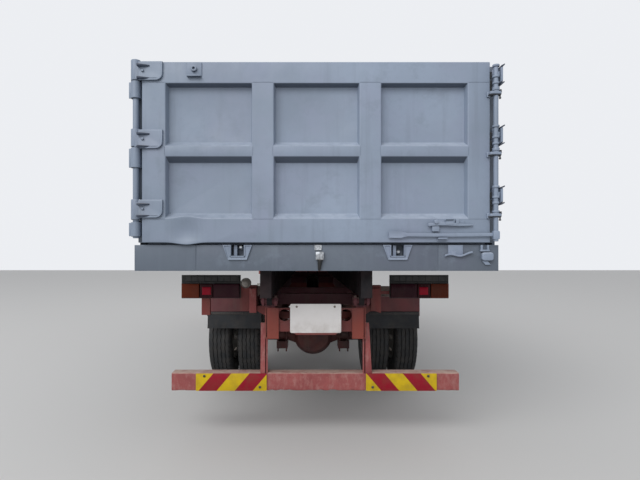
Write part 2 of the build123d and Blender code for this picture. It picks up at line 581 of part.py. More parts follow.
def bed_rear_frame():
    """Sill and corner posts round the gate, with hinge sleeves, lock keepers and the sill's brackets."""
    sill = block(-BODY_HALF, BODY_HALF, SILL_REAR, REAR_FRAME_FRONT, SILL_BOTTOM, SILL_TOP)
    sill += block(-POST_OUTER, POST_OUTER, POST_REAR, REAR_FRAME_FRONT, SILL_TOP, FLOOR_TOP)
    for side in (-1, 1):
        inner, outer = sorted((side * WALL_INNER, side * POST_OUTER))
        sill += block(inner, outer, POST_REAR, REAR_FRAME_FRONT, SILL_TOP, WALL_TOP)
    for low, high in HINGE_SLEEVES:
        sill += rod_z(34, low, high, HINGE_X, HINGE_Y)
        sill += block(HINGE_X - 24, HINGE_X + 33, HINGE_Y, POST_REAR, low, high)
        sill -= rod_z(HINGE_RADIUS + PIN_PLAY, low - 1, high + 1, HINGE_X, HINGE_Y)
    for low, high in KEEPERS:
        sill += block(LOCK_X - 9, LOCK_X + 58, POST_REAR - 12, POST_REAR, low, high)
        sill += block(LOCK_X + 48, LOCK_X + 58, LOCK_Y - 30, POST_REAR, low, high)
        for z in (low, high - 10):
            sill += block(LOCK_X - 9, LOCK_X + 58, LOCK_Y + 24, POST_REAR, z, z + 10)
            sill += block(LOCK_X + 27, LOCK_X + 58, LOCK_Y - 30, LOCK_Y + 24, z, z + 10)
    # Two trapezoid brackets, each with a window that opens into the sill
    window_half, window_bottom, foot = 47, 1507, 1480
    for x in (-540, 554):
        bracket = front_plate([(x - 100, SILL_TOP), (x - 64, foot), (x + 64, foot), (x + 100, SILL_TOP)],
                              SILL_REAR - 12, SILL_REAR)
        sill += bracket
        sill -= block(x - window_half, x + window_half, SILL_REAR - 13, SILL_REAR + 70, window_bottom, SILL_TOP + 1)
    # Catch in the middle: a plate, a block and a tapered stub that hangs from it
    sill += block(-14, 36, SILL_REAR - 10, SILL_REAR, 1546, SILL_TOP)
    sill += block(-6, 50, SILL_REAR - 26, SILL_REAR, 1480, 1536)
    sill += Pos(21, SILL_REAR - 13, 1444) * Cone(6, 13, 72)
    # Plate with a curved lever
    sill += block(898, 999, SILL_REAR - 10, SILL_REAR, 1511, SILL_TOP)
    sill += front_plate([(872, 1500), (915, 1514), (965, 1504), (1012, 1512), (1060, 1524), (1060, 1536),
                         (1012, 1525), (965, 1517), (915, 1527), (872, 1512)], SILL_REAR - 24, SILL_REAR - 10)
    # Fork at the right over a round-nosed block on a hanger
    for x in (1118, 1161):
        sill += block(x, x + 13, SILL_REAR - 20, SILL_REAR, 1546, SILL_TOP)
    sill += block(1114, 1178, SILL_REAR - 22, SILL_REAR, 1538, 1550)
    nose = block(1123, 1203, SILL_REAR - 26, SILL_REAR, 1473, 1532)
    sill += fillet(nose.edges().filter_by(Axis.Y), 20)
    sill += front_plate([(1128, 1476), (1150, 1446), (1188, 1446), (1166, 1476)], SILL_REAR - 14, SILL_REAR)
    return sill


def hoist_angle():
    """Slope of the resting cylinder in degrees."""
    return math.degrees(math.atan2(HOIST_EYE_Z - HOIST_BASE_Z, HOIST_EYE_Y - HOIST_BASE_Y))


def hoist_length():
    """Distance between the resting cylinder's two eyes."""
    return math.hypot(HOIST_EYE_Z - HOIST_BASE_Z, HOIST_EYE_Y - HOIST_BASE_Y)


def along_hoist(shape):
    """Put a shape drawn along +Y from the base pin onto the cylinder's resting line."""
    return Pos(0, HOIST_BASE_Y, HOIST_BASE_Z) * Rot(hoist_angle(), 0, 0) * shape


def hoist_barrel():
    """Barrel with a base lug and a gland ring."""
    start, end = 80, 1500
    barrel = rod_y(BARREL_RADIUS, start, end, 0, 0) + rod_y(BARREL_RADIUS + 10, end - 60, end, 0, 0)
    barrel += rod_x(48, -54, 54, 0, 0) + block(-54, 54, 0, start, -48, 48)
    barrel -= rod_y(ROD_RADIUS + PIN_PLAY, start + 60, end + 1, 0, 0)
    barrel -= rod_x(27 + PIN_PLAY, -60, 60, 0, 0)
    return along_hoist(barrel)


def hoist_rod():
    """Plated rod with the eye that lies in the bed's clevis."""
    end = hoist_length()
    rod = rod_y(ROD_RADIUS, 160, end - 40, 0, 0) + rod_x(52, -48, 48, end, 0)
    rod += block(-48, 48, end - 70, end, -40, 40)
    rod -= rod_x(22, -50, 50, end, 0)
    return along_hoist(rod)


def cab_plan():
    """Plan outline of the cab, rounded more at the front corners than behind."""
    plan = make_face(Polyline((-CAB_HALF, CAB_REAR), (CAB_HALF, CAB_REAR), (CAB_HALF, CAB_FRONT),
                              (-CAB_HALF, CAB_FRONT), close=True))
    plan = fillet(plan.vertices().group_by(Axis.Y)[-1], 190)
    return fillet(plan.vertices().group_by(Axis.Y)[0], 70)


def cab_volume(inset):
    """Closed outer form of the cab, drawn in by an inset, from its side, plan and front outlines."""
    side = make_face(Polyline((CAB_REAR, CAB_BOTTOM), (CAB_FRONT, CAB_BOTTOM), (CAB_FRONT, 1420), (4352, 1690),
                              (4190, 2500), (4060, CAB_ROOF), (2640, CAB_ROOF), (CAB_REAR, 2540), close=True))
    plan = cab_plan()
    front = make_face(Polyline((-CAB_HALF, 800), (CAB_HALF, 800), (CAB_HALF, CAB_WAIST), (CAB_ROOF_HALF, CAB_ROOF),
                               (-CAB_ROOF_HALF, CAB_ROOF), (-CAB_HALF, CAB_WAIST), close=True))
    front = fillet(front.vertices().group_by(Axis.Y)[-1], 120)
    if inset:
        side = offset(side, -inset, kind=Kind.INTERSECTION)
        plan = offset(plan, -inset, kind=Kind.INTERSECTION)
        front = offset(front, -inset, kind=Kind.INTERSECTION)
    form = extrude(Plane.YZ.offset(-CAB_HALF) * side, amount=2 * CAB_HALF, dir=(1, 0, 0))
    form &= extrude(Plane.XY.offset(800) * plan, amount=2000, dir=(0, 0, 1))
    return form & extrude(Plane.XZ.offset(-2400) * front, amount=2200, dir=(0, 1, 0))


def rounded_side(outline, radius, grow, x0, x1):
    """Prism along X with a rounded (y, z) outline, grown by a gap."""
    face = fillet(make_face(Polyline(*outline, close=True)).vertices(), radius)
    if grow:
        face = offset(face, grow)
    return extrude(Plane.YZ.offset(x0) * face, amount=x1 - x0, dir=(1, 0, 0))


def rounded_front(outline, radius, y0, y1):
    """Prism along Y with a rounded (x, z) outline."""
    face = fillet(make_face(Polyline(*outline, close=True)).vertices(), radius)
    return extrude(Plane.XZ.offset(-y0) * face, amount=y1 - y0, dir=(0, 1, 0))


def door_prism(grow):
    """Outline of the right door, pushed through the cab's side wall."""
    outline = [(DOOR_REAR, DOOR_BOTTOM), (DOOR_FRONT, DOOR_BOTTOM), (DOOR_FRONT, 1720), (3815, DOOR_TOP),
               (DOOR_REAR, DOOR_TOP)]
    return rounded_side(outline, 50, grow, 1000, 1200)


def side_window():
    """Outline of the right door's window."""
    outline = [(2900, 1750), (3860, 1750), (3735, 2370), (2900, 2370)]
    return rounded_side(outline, 50, 0, 1000, 1200)


def windscreen_prism():
    """Outline of the windscreen."""
    return rounded_front([(-1030, 1760), (1030, 1760), (985, 2430), (-985, 2430)], 60, 4000, 4400)


def rear_window_prism():
    """Outline of the window in the cab's back wall."""
    return rounded_front([(-520, 1780), (520, 1780), (520, 2300), (-520, 2300)], 60, 2500, 2660)


def cab_shell(outer, inner):
    """Hollow cab with its windows and door openings cut, on four mounting pads."""
    shell = outer - inner
    for cutter in (windscreen_prism(), rear_window_prism(), door_prism(DOOR_GAP)):
        shell -= cutter
    shell -= mirror(door_prism(DOOR_GAP), about=Plane.YZ)
    # Apron that closes the front and the corners between the floor and the bumper
    ring = cab_plan() - offset(cab_plan(), -40, kind=Kind.INTERSECTION)
    apron = extrude(Plane.XY.offset(APRON_BOTTOM) * ring, amount=CAB_BOTTOM - APRON_BOTTOM)
    shell += apron & block(-CAB_HALF, CAB_HALF, 3890, CAB_FRONT, APRON_BOTTOM, CAB_BOTTOM)
    for y in (2640, 3650):
        for x in (-390, 330):
            shell += block(x, x + 60, y, y + 120, RAIL_TOP, CAB_BOTTOM)
    return shell


def cab_door(outer, inner):
    """Right door, as thick as the cab's wall, with its window cut and a recessed handle."""
    door = ((outer - inner) & door_prism(0)) - side_window()
    door -= block(CAB_HALF - 18, CAB_HALF + 10, 2860, 3010, 1560, 1625)
    return door + block(CAB_HALF - 14, CAB_HALF - 4, 2860, 3010, 1585, 1605)


def glass_layer():
    """Thin skin inside the cab's wall that every pane is cut from."""
    return cab_volume(24) - cab_volume(30)


def cab_glass(layer):
    """Windscreen and rear window."""
    return Compound(children=[layer & windscreen_prism(), layer & rear_window_prism()])


def grille():
    """Louvred panel on the cab's front."""
    half, low, high = 640, 1010, 1330
    panel = rounded_front([(-half, low), (half, low), (half, high), (-half, high)], 40, CAB_FRONT, CAB_FRONT + 18)
    pitch = (high - low - 40) / 5
    for row in range(5):
        z = low + 20 + pitch * row
        panel -= block(-half + 50, half - 50, CAB_FRONT + 6, CAB_FRONT + 19, z + 10, z + pitch - 10)
    return panel


def front_bumper():
    """Bumper that wraps round the corners to the front wheels, open behind, with lamp holes and steps."""
    half, rear, low, high, wall = 1150, 3890, 400, 860, 40
    plan = make_face(Polyline((-half, rear), (half, rear), (half, FRONT_REACH), (-half, FRONT_REACH), close=True))
    plan = fillet(plan.vertices().group_by(Axis.Y)[-1], 150)
    bumper = extrude(Plane.XY.offset(low) * plan, amount=high - low)
    hollow = make_face(Polyline((wall - half, rear - 10), (half - wall, rear - 10), (half - wall, FRONT_REACH - wall),
                                (wall - half, FRONT_REACH - wall), close=True))
    hollow = fillet(hollow.vertices().group_by(Axis.Y)[-1], 150 - wall)
    bumper -= extrude(Plane.XY.offset(low - 1) * hollow, amount=high - low + 2)
    for x in (-EYE_X, EYE_X):
        bumper += block(x - 20, x + 20, BRACKET_FRONT, FRONT_REACH - wall, 700, 800)
    for x0, x1 in ((-1010, -720), (720, 1010)):
        bumper -= block(x0, x1, FRONT_REACH - wall - 1, FRONT_REACH + 1, 610, 770)
    # Steps in the sides below the doors
    for x0, x1 in ((-half - 1, -half + 30), (half - 30, half + 1)):
        bumper -= block(x0, x1, 3940, 4200, 560, 760)
    return bumper


def headlamps():
    """Rectangular lamps in the bumper."""
    lamp = block(720, 1010, FRONT_REACH - 40, FRONT_REACH - 8, 610, 770)
    return both_sides(fillet(lamp.edges().group_by(Axis.Y)[-1], 10))


def mirrors():
    """Two mirrors on a bent tube at each front corner of the cab."""
    tube, y, out = 11, 4215, 1290
    shape = rod_z(tube, 1560, 2330, out, y + 60)
    for z in (1560, 2330):
        reach = 1146 if z < CAB_WAIST else 1098
        shape += rod_x(tube, reach, out, y + 60, z) & block(reach, out + tube, y, y + 120, z - 20, z + 20)
        shape += Pos(out, y + 60, z) * Sphere(tube)
    body = fillet(block(1205, 1385, y + 40, y + 100, 1880, 2240).edges(), 20)
    small = fillet(block(1215, 1375, y + 45, y + 95, 1660, 1840).edges(), 20)
    return both_sides(shape + body + small)


def cab_interior(inner):
    """Two seats, the dashboard, the steering column and its wheel."""
    shapes = []
    floor = CAB_BOTTOM + CAB_WALL
    for x in (-760, 240):
        seat = block(x + 60, x + 460, 2920, 3380, floor, floor + 190)
        seat += fillet(block(x, x + 520, 2880, 3430, floor + 190, floor + 310).edges(), 40)
        back = side_plate([(2860, floor + 270), (3000, floor + 270), (2900, floor + 900), (2780, floor + 900)],
                          x + 20, x + 500)
        seat += fillet(back.edges().filter_by(Axis.X), 35)
        shapes.append(seat)
    dash = side_plate([(4420, 1300), (4120, 1300), (4060, 1420), (4040, 1600), (4150, 1690), (4420, 1700)],
                      -CAB_HALF, CAB_HALF) & inner
    wheel_x, wheel_y, wheel_z = 500, 3860, 1690
    column = Pos(wheel_x, wheel_y, wheel_z) * Rot(35, 0, 0)
    dash += column * (Torus(215, 15) + Cylinder(60, 30) + Pos(0, 0, -190) * Cylinder(24, 380))
    for spoke in range(3):
        dash += column * Rot(0, 0, 90 + 120 * spoke) * Pos(110, 0, 0) * Box(200, 34, 14)
    shapes.append(dash)
    return Compound(children=shapes)


def driveline():
    """Engine and gearbox as plain blocks, with the propeller shaft down to the rear axle."""
    web = RAIL_OUTER - RAIL_WEB
    pieces = [fillet(block(-300, 300, 2900, 4000, 600, 1110).edges().filter_by(Axis.Y), 40),
              fillet(block(-190, 190, 2100, 2900, 620, 850).edges().filter_by(Axis.Y), 50),
              block(300, web, 3300, 3420, 900, 960), block(-web, -300, 3300, 3420, 900, 960)]
    start, end = (2100, 740), (REAR_AXLE_Y + 300, TYRE_RADIUS)
    length = math.dist(start, end)
    slope = math.degrees(math.atan2(start[1] - end[1], start[0] - end[0]))
    shaft = rod_y(45, 15, length - 15, 0, 0) + rod_y(62, 50, 110, 0, 0) + rod_y(62, length - 110, length - 50, 0, 0)
    shaft = Pos(0, end[0], end[1]) * Rot(slope, 0, 0) * shaft
    pieces.append(shaft + rod_y(80, end[0], end[0] + 26, 0, end[1]) + rod_y(80, start[0] - 26, start[0], 0, start[1]))
    return Compound(children=pieces)


def fuel_tank():
    """Rounded tank on the right rail, on two straps."""
    tank = fillet(block(470, 1060, 640, 1690, 500, 980).edges().filter_by(Axis.Y), 90)
    tank += rod_z(45, 980, 1010, 960, 1480)
    for y in (800, 1480):
        strap = fillet(block(464, 1066, y, y + 50, 494, 986).edges().filter_by(Axis.Y), 96)
        tank += strap + block(RAIL_OUTER, 470, y, y + 50, 870, 950)
    return tank


def battery_box():
    """Lidded box on the left rail."""
    lid = fillet(block(-915, -410, 1890, 2490, 900, 925).edges().filter_by(Axis.Z), 12)
    return block(-900, -RAIL_OUTER, 1900, 2480, 600, 900) + lid


def air_tanks():
    """Two pressure tanks beside each other on the left rail."""
    tanks = Part()
    for x in (-560, -860):
        tank = rod_y(130, 420, 1660, x, 720)
        tanks += fillet(tank.edges().filter_by(GeomType.CIRCLE), 55)
    for y in (600, 1420):
        tanks += block(-1000, -RAIL_OUTER, y, y + 40, 862, 892)
        for x in (-560, -860):
            tanks += rod_y(136, y, y + 40, x, 720) + block(x - 20, x + 20, y, y + 40, 840, 870)
    return tanks


def silencer():
    """Cylindrical silencer on the right rail with its tail pipe."""
    can = fillet(rod_y(150, 1830, 2480, 640, 720).edges().filter_by(GeomType.CIRCLE), 40)
    can += rod_y(40, 2470, 2560, 640, 720) + rod_x(38, 780, 1010, 1900, 720)
    for y in (1960, 2300):
        can += rod_y(156, y, y + 40, 640, 720) + block(RAIL_OUTER, 600, y, y + 40, 862, 892)
    return can


def side_guards():
    """Two rails along each side between the wheels, on posts and arms from the frame."""
    rear, front, outer = -880, 2520, 1195
    right = [block(outer - 25, outer, rear, front, z, z + 90) for z in (500, 740)]
    for y in (-840, 330, 1740, 2490):
        right.append(block(outer - 55, outer - 25, y, y + 30, 500, 930))
        right.append(block(RAIL_OUTER, outer - 55, y, y + 30, 895, 930))
    return Compound(children=right + [mirror(piece, about=Plane.YZ) for piece in right])


def right_and_left(name, shape):
    """Two nodes from a right-hand piece: itself and its mirror image."""
    return {name + "_right": shape, name + "_left": mirror(shape, about=Plane.YZ)}


def nodes():
    """Every piece of the lorry under its node's name."""
    outer, inner, layer = cab_volume(0), cab_volume(CAB_WALL), glass_layer()
    pieces = {
        "frame": frame(),
        "subframe": subframe(),
        "underrun_bar": underrun_bar(),
        "marker_plates": marker_plates(),
        "rear_lamp_housings": rear_lamp_housings(),
        "rear_lamp_lenses": rear_lamp_lenses(),
        "number_plate": number_plate(),
        "rear_fenders": rear_fenders(),
        "mudflaps": mudflaps(),
        "front_axle": front_axle(),
        "rear_axle": rear_axle(),
        "leaf_springs": leaf_springs(),
        "driveline": driveline(),
        "fuel_tank": fuel_tank(),
        "battery_box": battery_box(),
        "air_tanks": air_tanks(),
        "silencer": silencer(),
        "side_guards": side_guards(),
        "cab_shell": cab_shell(outer, inner),
        "cab_glass": cab_glass(layer),
        "cab_interior": cab_interior(inner),
        "grille": grille(),
        "front_bumper": front_bumper(),
        "headlamps": headlamps(),
        "mirrors": mirrors(),
        "bed_floor": bed_floor(),
        "bed_front": bed_front(),
        "bed_rear_frame": bed_rear_frame(),
        "gate_panel": gate_panel(),
        "gate_fittings": gate_fittings(),
        "lock_rod": lock_rod(),
        "hoist_barrel": hoist_barrel(),
        "hoist_rod": hoist_rod(),
        "tie_rod": tie_rod(),
    }
    pieces |= right_and_left("door", cab_door(outer, inner))
    pieces |= right_and_left("door_glass", layer & side_window())
    pieces |= right_and_left("bed_side", bed_side())
    pieces |= right_and_left("knuckle", knuckle())
    front_hub = Pos(FRONT_WHEEL_X, FRONT_AXLE_Y, TYRE_RADIUS)
    rear_hub = Pos(REAR_WHEEL_X, REAR_AXLE_Y, TYRE_RADIUS)
    pieces |= right_and_left("front_tyre", front_hub * tyre(0))
    pieces |= right_and_left("front_rim", front_hub * front_rim())
    pieces |= right_and_left("rear_tyre_outer", rear_hub * tyre(TWIN_SPACING / 2))
    pieces |= right_and_left("rear_tyre_inner", rear_hub * tyre(-TWIN_SPACING / 2))
    pieces |= right_and_left("rear_rims", rear_hub * rear_rims())
    return pieces


os.makedirs("parts", exist_ok=True)
for node, piece in nodes().items():
    export_step(piece, f"parts/{node}.step")
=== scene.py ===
import bmesh
import bpy
import math
import random
from mathutils import Matrix, Vector


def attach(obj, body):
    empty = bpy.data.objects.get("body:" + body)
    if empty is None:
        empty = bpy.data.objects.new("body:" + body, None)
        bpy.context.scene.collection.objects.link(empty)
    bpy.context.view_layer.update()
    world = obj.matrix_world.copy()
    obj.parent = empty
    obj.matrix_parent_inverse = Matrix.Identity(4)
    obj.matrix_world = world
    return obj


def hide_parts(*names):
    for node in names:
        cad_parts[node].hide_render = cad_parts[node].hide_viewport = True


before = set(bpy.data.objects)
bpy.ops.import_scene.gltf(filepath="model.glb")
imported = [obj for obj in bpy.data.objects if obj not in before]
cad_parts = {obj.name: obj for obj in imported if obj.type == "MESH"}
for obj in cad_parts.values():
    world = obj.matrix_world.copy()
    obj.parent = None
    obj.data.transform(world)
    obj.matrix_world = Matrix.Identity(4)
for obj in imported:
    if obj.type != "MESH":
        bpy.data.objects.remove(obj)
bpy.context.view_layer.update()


# The view: a lens of 26 mm on a 36 mm sensor, at a standing person's eye height behind the lorry.
# It looks level along the lorry, and the frame is shifted a little up and to the right.
PICTURE, FOCAL, CENTRE = (640, 480), 462, (308.6, 257)


def placed(name, data, location, tilt, turn):
    """A camera or lamp at its place, tilted up from straight down and then turned, in degrees."""
    item = bpy.data.objects.new(name, data)
    item.location = location
    item.rotation_euler = (math.radians(tilt), 0, math.radians(turn))
    bpy.context.scene.collection.objects.link(item)
    return item


view_data = bpy.data.cameras.new("view_from_behind")
view_data.sensor_width = 36
view_data.lens = 36 * FOCAL / PICTURE[0]
view_data.shift_x = (PICTURE[0] / 2 - CENTRE[0]) / PICTURE[0]
view_data.shift_y = (CENTRE[1] - PICTURE[1] / 2) / PICTURE[0]
bpy.context.scene.camera = placed("view_from_behind", view_data, (-0.054, -7.52, 1.50), 90, 0)
bpy.context.scene.view_settings.view_transform = "Standard"


def linear(hex_colour):
    """An sRGB hex colour as linear red, green, blue and alpha."""
    channels = [int(hex_colour[place:place + 2], 16) / 255 for place in (0, 2, 4)]
    return [c / 12.92 if c <= 0.04045 else ((c + 0.055) / 1.055) ** 2.4 for c in channels] + [1]


def plug(tree, node, inputs):
    """Give a node its inputs, where each is a value or the socket it is linked from."""
    for name, value in inputs.items():
        if isinstance(value, bpy.types.NodeSocket):
            tree.links.new(value, node.inputs[name])
        else:
            node.inputs[name].default_value = value


def add_node(tree, kind, inputs, **settings):
    """A shader node with its settings and inputs."""
    node = tree.nodes.new("ShaderNode" + kind)
    for name, value in settings.items():
        setattr(node, name, value)
    plug(tree, node, inputs)
    return node


# The studio: an even white sky with one wide soft lamp behind the lorry, high on its left, and a pale floor.
# The sky looks near white to the camera and in gloss, and lights the paint at the level it is written.
SKY_LIGHT, SKY_SEEN = 0.62, 0.93
world = bpy.data.worlds.new("even_sky")
bpy.context.scene.world = world
world.use_nodes = True
sky = world.node_tree
ray = add_node(sky, "LightPath", {}).outputs
reflected = add_node(sky, "Math", {0: ray["Is Glossy Ray"], 1: ray["Is Transmission Ray"]},
                     operation="MAXIMUM")
seen = add_node(sky, "Math", {0: ray["Is Camera Ray"], 1: reflected.outputs[0]}, operation="MAXIMUM")
level = add_node(sky, "Mix", {"Factor": seen.outputs[0], "A": SKY_LIGHT, "B": SKY_SEEN})
plug(sky, sky.nodes["Background"], {"Color": linear("f4f6fa"), "Strength": level.outputs["Result"]})

soft_box = bpy.data.lights.new("soft_box", "AREA")
soft_box.shape = "RECTANGLE"
soft_box.size, soft_box.size_y = 19, 13
soft_box.energy = 3700
placed("soft_box", soft_box, (-9.0, -22.5, 15.5), 56, -26)

bpy.ops.object.select_all(action="DESELECT")
bpy.ops.mesh.primitive_plane_add(size=90)
floor = bpy.context.object
floor.name = "studio_floor"
floor_matt = bpy.data.materials.new("matt_floor_paint")
floor_matt.use_nodes = True
floor_tree = floor_matt.node_tree
plug(floor_tree, floor_tree.nodes["Principled BSDF"], {"Base Color": linear("d4d3d1"), "Roughness": 0.85})
floor.data.materials.append(floor_matt)

# The ladder frame: two pressed C channels 250 mm deep with riveted cross members, in brushed red oxide.
# Box rails lie on it and end in the two ears that the load bed tips on.
# Years of road have faded the paint, left grey dust on what faces up and rust where stones hit.


class Finish:
    """A material in the making, new or taken up again, whose pattern is laid by the place on the piece."""

    def __init__(self, name):
        self.material = bpy.data.materials.get(name) or bpy.data.materials.new(name)
        self.material.use_nodes = True
        self.shader = self.material.node_tree.nodes["Principled BSDF"]
        self.place = self.node("TexCoord", {}).outputs["Object"]

    def node(self, kind, inputs, **settings):
        """A node of this material."""
        return add_node(self.material.node_tree, kind, inputs, **settings)

    def axis(self, letter):
        """One coordinate of the place in metres."""
        return self.node("SeparateXYZ", {"Vector": self.place}).outputs[letter]

    def upward(self):
        """How much the surface faces up, from -1 to 1."""
        return self.node("SeparateXYZ",
                         {"Vector": self.node("NewGeometry", {}).outputs["Normal"]}).outputs["Z"]

    def cloud(self, size, detail=4, roughness=0.55, stretch=(1, 1, 1)):
        """Noise with patches of about size millimetres, drawn out along an axis where stretch is below 1."""
        at = self.node("Mapping", {"Vector": self.place, "Scale": stretch})
        return self.node("TexNoise", {"Vector": at.outputs[0], "Scale": 1000 / size, "Detail": detail,
                                      "Roughness": roughness}).outputs["Fac"]

    def between(self, value, low, high, start=0, end=1):
        """A value's range from low to high spread over start to end, and held there outside it."""
        return self.node("MapRange", {"Value": value, "From Min": low, "From Max": high, "To Min": start,
                                      "To Max": end}).outputs["Result"]

    def patches(self, size, low, high, start=0, end=1, **noise):
        """A cloud whose range from low to high is spread over start to end."""
        return self.between(self.cloud(size, **noise), low, high, start, end)

    def mixed(self, share, under, over):
        """Two colours, given as hex or as sockets, where share is how much of the second shows."""
        first, second = (linear(colour) if isinstance(colour, str) else colour for colour in (under, over))
        return self.node("MixRGB", {"Fac": share, "Color1": first, "Color2": second}).outputs["Color"]

    def sum(self, operation, *values):
        """The outcome of a sum with one to three values."""
        return self.node("Math", dict(enumerate(values)), operation=operation).outputs[0]

    def product(self, first, second):
        """Two shares multiplied."""
        return self.sum("MULTIPLY", first, second)

    def bump(self, height, strength, distance, **under):
        """Relief for the surface, which may lie on other relief given as Normal."""
        relief = {"Height": height, "Strength": strength, "Distance": distance, **under}
        return self.node("Bump", relief).outputs["Normal"]

    def done(self, **inputs):
        """Give the shader its inputs, underscores standing for spaces, and hand over the material."""
        plug(self.material.node_tree, self.shader, {name.replace("_", " "): inputs[name] for name in inputs})
        return self.material


def worn_paint(name, paint, faded, rust, rust_share, dust, dust_share, dust_top, roughness, patch=320,
               lying=0.8):
    """Paint on steel that fades in patches and rusts in chips, dusty on top and where the road throws up."""
    on = Finish(name)
    tone = on.mixed(on.patches(patch, 0.38, 0.62), paint, faded)
    tone = on.mixed(on.patches(60, 0.5, 0.75, 0, 0.3, stretch=(1, 1, 0.08)), tone, dust)
    chips = on.patches(24, 0.74 - 0.3 * rust_share, 0.79 - 0.3 * rust_share, detail=8, roughness=0.7)
    rusted = on.product(chips, on.patches(260, 0.45, 0.6))
    tone = on.mixed(rusted, tone, rust)
    low = on.between(on.axis("Z"), 0.2, dust_top, dust_share, 0)
    tone = on.mixed(on.product(low, on.patches(110, 0.3, 0.65, detail=6)), tone, dust)
    settled = on.product(on.between(on.upward(), 0.5, 0.9, 0, lying),
                         on.patches(70, 0.3, 0.6, 0.3, 1, detail=5))
    grain = on.cloud(4, 3)
    matt = on.between(grain, 0.3, 0.7, roughness - 0.06, roughness + 0.06)
    relief = on.sum("ADD", on.product(rusted, -0.6), grain)
    return on.done(Base_Color=on.mixed(settled, tone, "a3958a"), Normal=on.bump(relief, 0.35, 0.0008),
                   Roughness=on.sum("ADD", matt, on.product(rusted, 0.25)))


def dress(finish, *nodes):
    """Give CAD nodes their material."""
    for node in nodes:
        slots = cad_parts[node].data.materials
        slots.clear()
        slots.append(finish)


red_oxide = worn_paint("red_oxide_on_steel", "7d3531", "693030", "3d2119", 0.5, "6b5d52", 0.45, 1.3, 0.68)
# The capped ends of the rails carry a painted highlight in lighter orange, strongest low down and fading upwards
# into painted shade under the bed; inside, the frame's oxide stays dark
on = Finish("red_oxide_on_steel")
caps = on.product(on.between(on.axis("Y"), -3.838, -3.842),
                  on.between(on.sum("ABSOLUTE", on.axis("X")), 0.27, 0.29))
rail_cap_highlight = on.product(caps, on.between(on.axis("Z"), 1.12, 0.96, 0.1, 0.65))
on.done(Base_Color=on.mixed(rail_cap_highlight, on.shader.inputs["Base Color"].links[0].from_socket, "8a3b2b"))
# The subframe takes a darker copy of the frame's red oxide: painted shade for where it lies between the rails
# under the bed.
shaded_red_oxide = worn_paint("red_oxide_darkened_as_painted_shade", "5e2c33", "4d262d", "2c1a17", 0.5, "54483f", 0.3, 1.3, 0.72)
dress(red_oxide, "frame")
dress(shaded_red_oxide, "subframe")

# Axles, springs and driveline: forged and cast iron and spring steel, black or oxide once, now dull
# under road dust and oil. The banjo housing keeps some of the frame's red.
axle_oxide = worn_paint("dusty_oxide_on_cast_iron", "5f2c2a", "47262a", "2f211c", 0.5, "5b5048", 0.5, 1.0,
                        0.72, 180)
oiled_iron = worn_paint("oily_black_paint_on_iron", "26262a", "33302f", "4a2f22", 0.4, "564c44", 0.5, 1.1,
                        0.6, 150)
dress(axle_oxide, "rear_axle", "front_axle", "leaf_springs")
dress(oiled_iron, "driveline", "knuckle_left", "knuckle_right", "tie_rod")

# Tyres: radial lorry tyres of 1044 mm, cured black rubber with four zigzag grooves round the tread,
# notched shoulders and ribbed sidewalls. Each is shaped as one turned shell from bead to bead.
# Dust lies in the grooves and on the walls, and the crown of the tread is rubbed clean and grey.
TYRE_STEPS = 144
ZIGZAG = 0.003
WHEELS = {"front_wheel": (0.980, 3.210, 0.522), "rear_wheel": (0.9235, -1.640, 0.522)}
ACROSS = Matrix.Scale(-1, 4, (1, 0, 0))


def deselect():
    """Leave edit mode and select nothing."""
    if bpy.context.object and bpy.context.object.mode != "OBJECT":
        bpy.ops.object.mode_set(mode="OBJECT")
    bpy.ops.object.select_all(action="DESELECT")


def take_up(piece, mode="OBJECT"):
    """Make one piece the only one selected, in object or edit mode."""
    deselect()
    piece.select_set(True)
    bpy.context.view_layer.objects.active = piece
    bpy.ops.object.mode_set(mode=mode)
    return piece


def drawn_line(name, points):
    """A line of edges through the points, drawn by extruding one vertex step by step."""
    deselect()
    bpy.ops.mesh.primitive_plane_add(size=0.01, location=points[0])
    bpy.ops.object.transform_apply(location=True)
    piece = bpy.context.object
    piece.name = name
    bpy.ops.object.mode_set(mode="EDIT")
    bpy.ops.mesh.select_mode(type="VERT")
    bpy.ops.mesh.merge(type="CENTER")
    for start, end in zip(points, points[1:]):
        bpy.ops.mesh.extrude_region_move(TRANSFORM_OT_translate={"value": Vector(end) - Vector(start)})
    bpy.ops.mesh.select_all(action="SELECT")
    return piece


def turned(name, outline, centre, steps, axis):
    """An outline as (place along the axis, radius), spun about an axis along X or Y through the centre."""
    x, y, z = centre
    piece = drawn_line(name,
                       [(x + along * axis[0], y + along * axis[1], z + radius) for along, radius in outline])
    bpy.ops.mesh.spin(steps=steps, angle=math.tau, center=centre, axis=axis)
    bpy.ops.mesh.select_all(action="SELECT")
    bpy.ops.mesh.remove_doubles(threshold=0.00005)
    bpy.ops.mesh.normals_make_consistent(inside=False)
    bpy.ops.object.mode_set(mode="OBJECT")
    return piece


def pick(piece, faces=None, edges=None):
    """In edit mode, select the faces whose middle and normal pass, or the edges whose two ends pass."""
    take_up(piece, "EDIT")
    bpy.ops.mesh.select_mode(type="FACE" if faces else "EDGE")
    bpy.ops.mesh.select_all(action="DESELECT")
    mesh = bmesh.from_edit_mesh(piece.data)
    if faces:
        for face in mesh.faces:
            face.select_set(bool(faces(face.calc_center_median(), face.normal)))
    else:
        for edge in mesh.edges:
            edge.select_set(bool(edges(*(vertex.co for vertex in edge.verts))))
    bmesh.update_edit_mesh(piece.data)


def facing(axis, sign):
    """A test for faces that look along an axis, against it where sign is -1, or either way where it is 0."""
    return lambda middle, normal: (normal[axis] * sign if sign else abs(normal[axis])) > 0.9


REARWARD, ENDS = facing(1, -1), facing(1, 0)


def inset(piece, faces, *steps, **settings):
    """Inset the faces that pass a test, once for each (thickness, depth)."""
    pick(piece, faces=faces)
    for thickness, depth in steps:
        bpy.ops.mesh.inset(thickness=thickness, depth=depth, **settings)
    bpy.ops.object.mode_set(mode="OBJECT")
    return piece


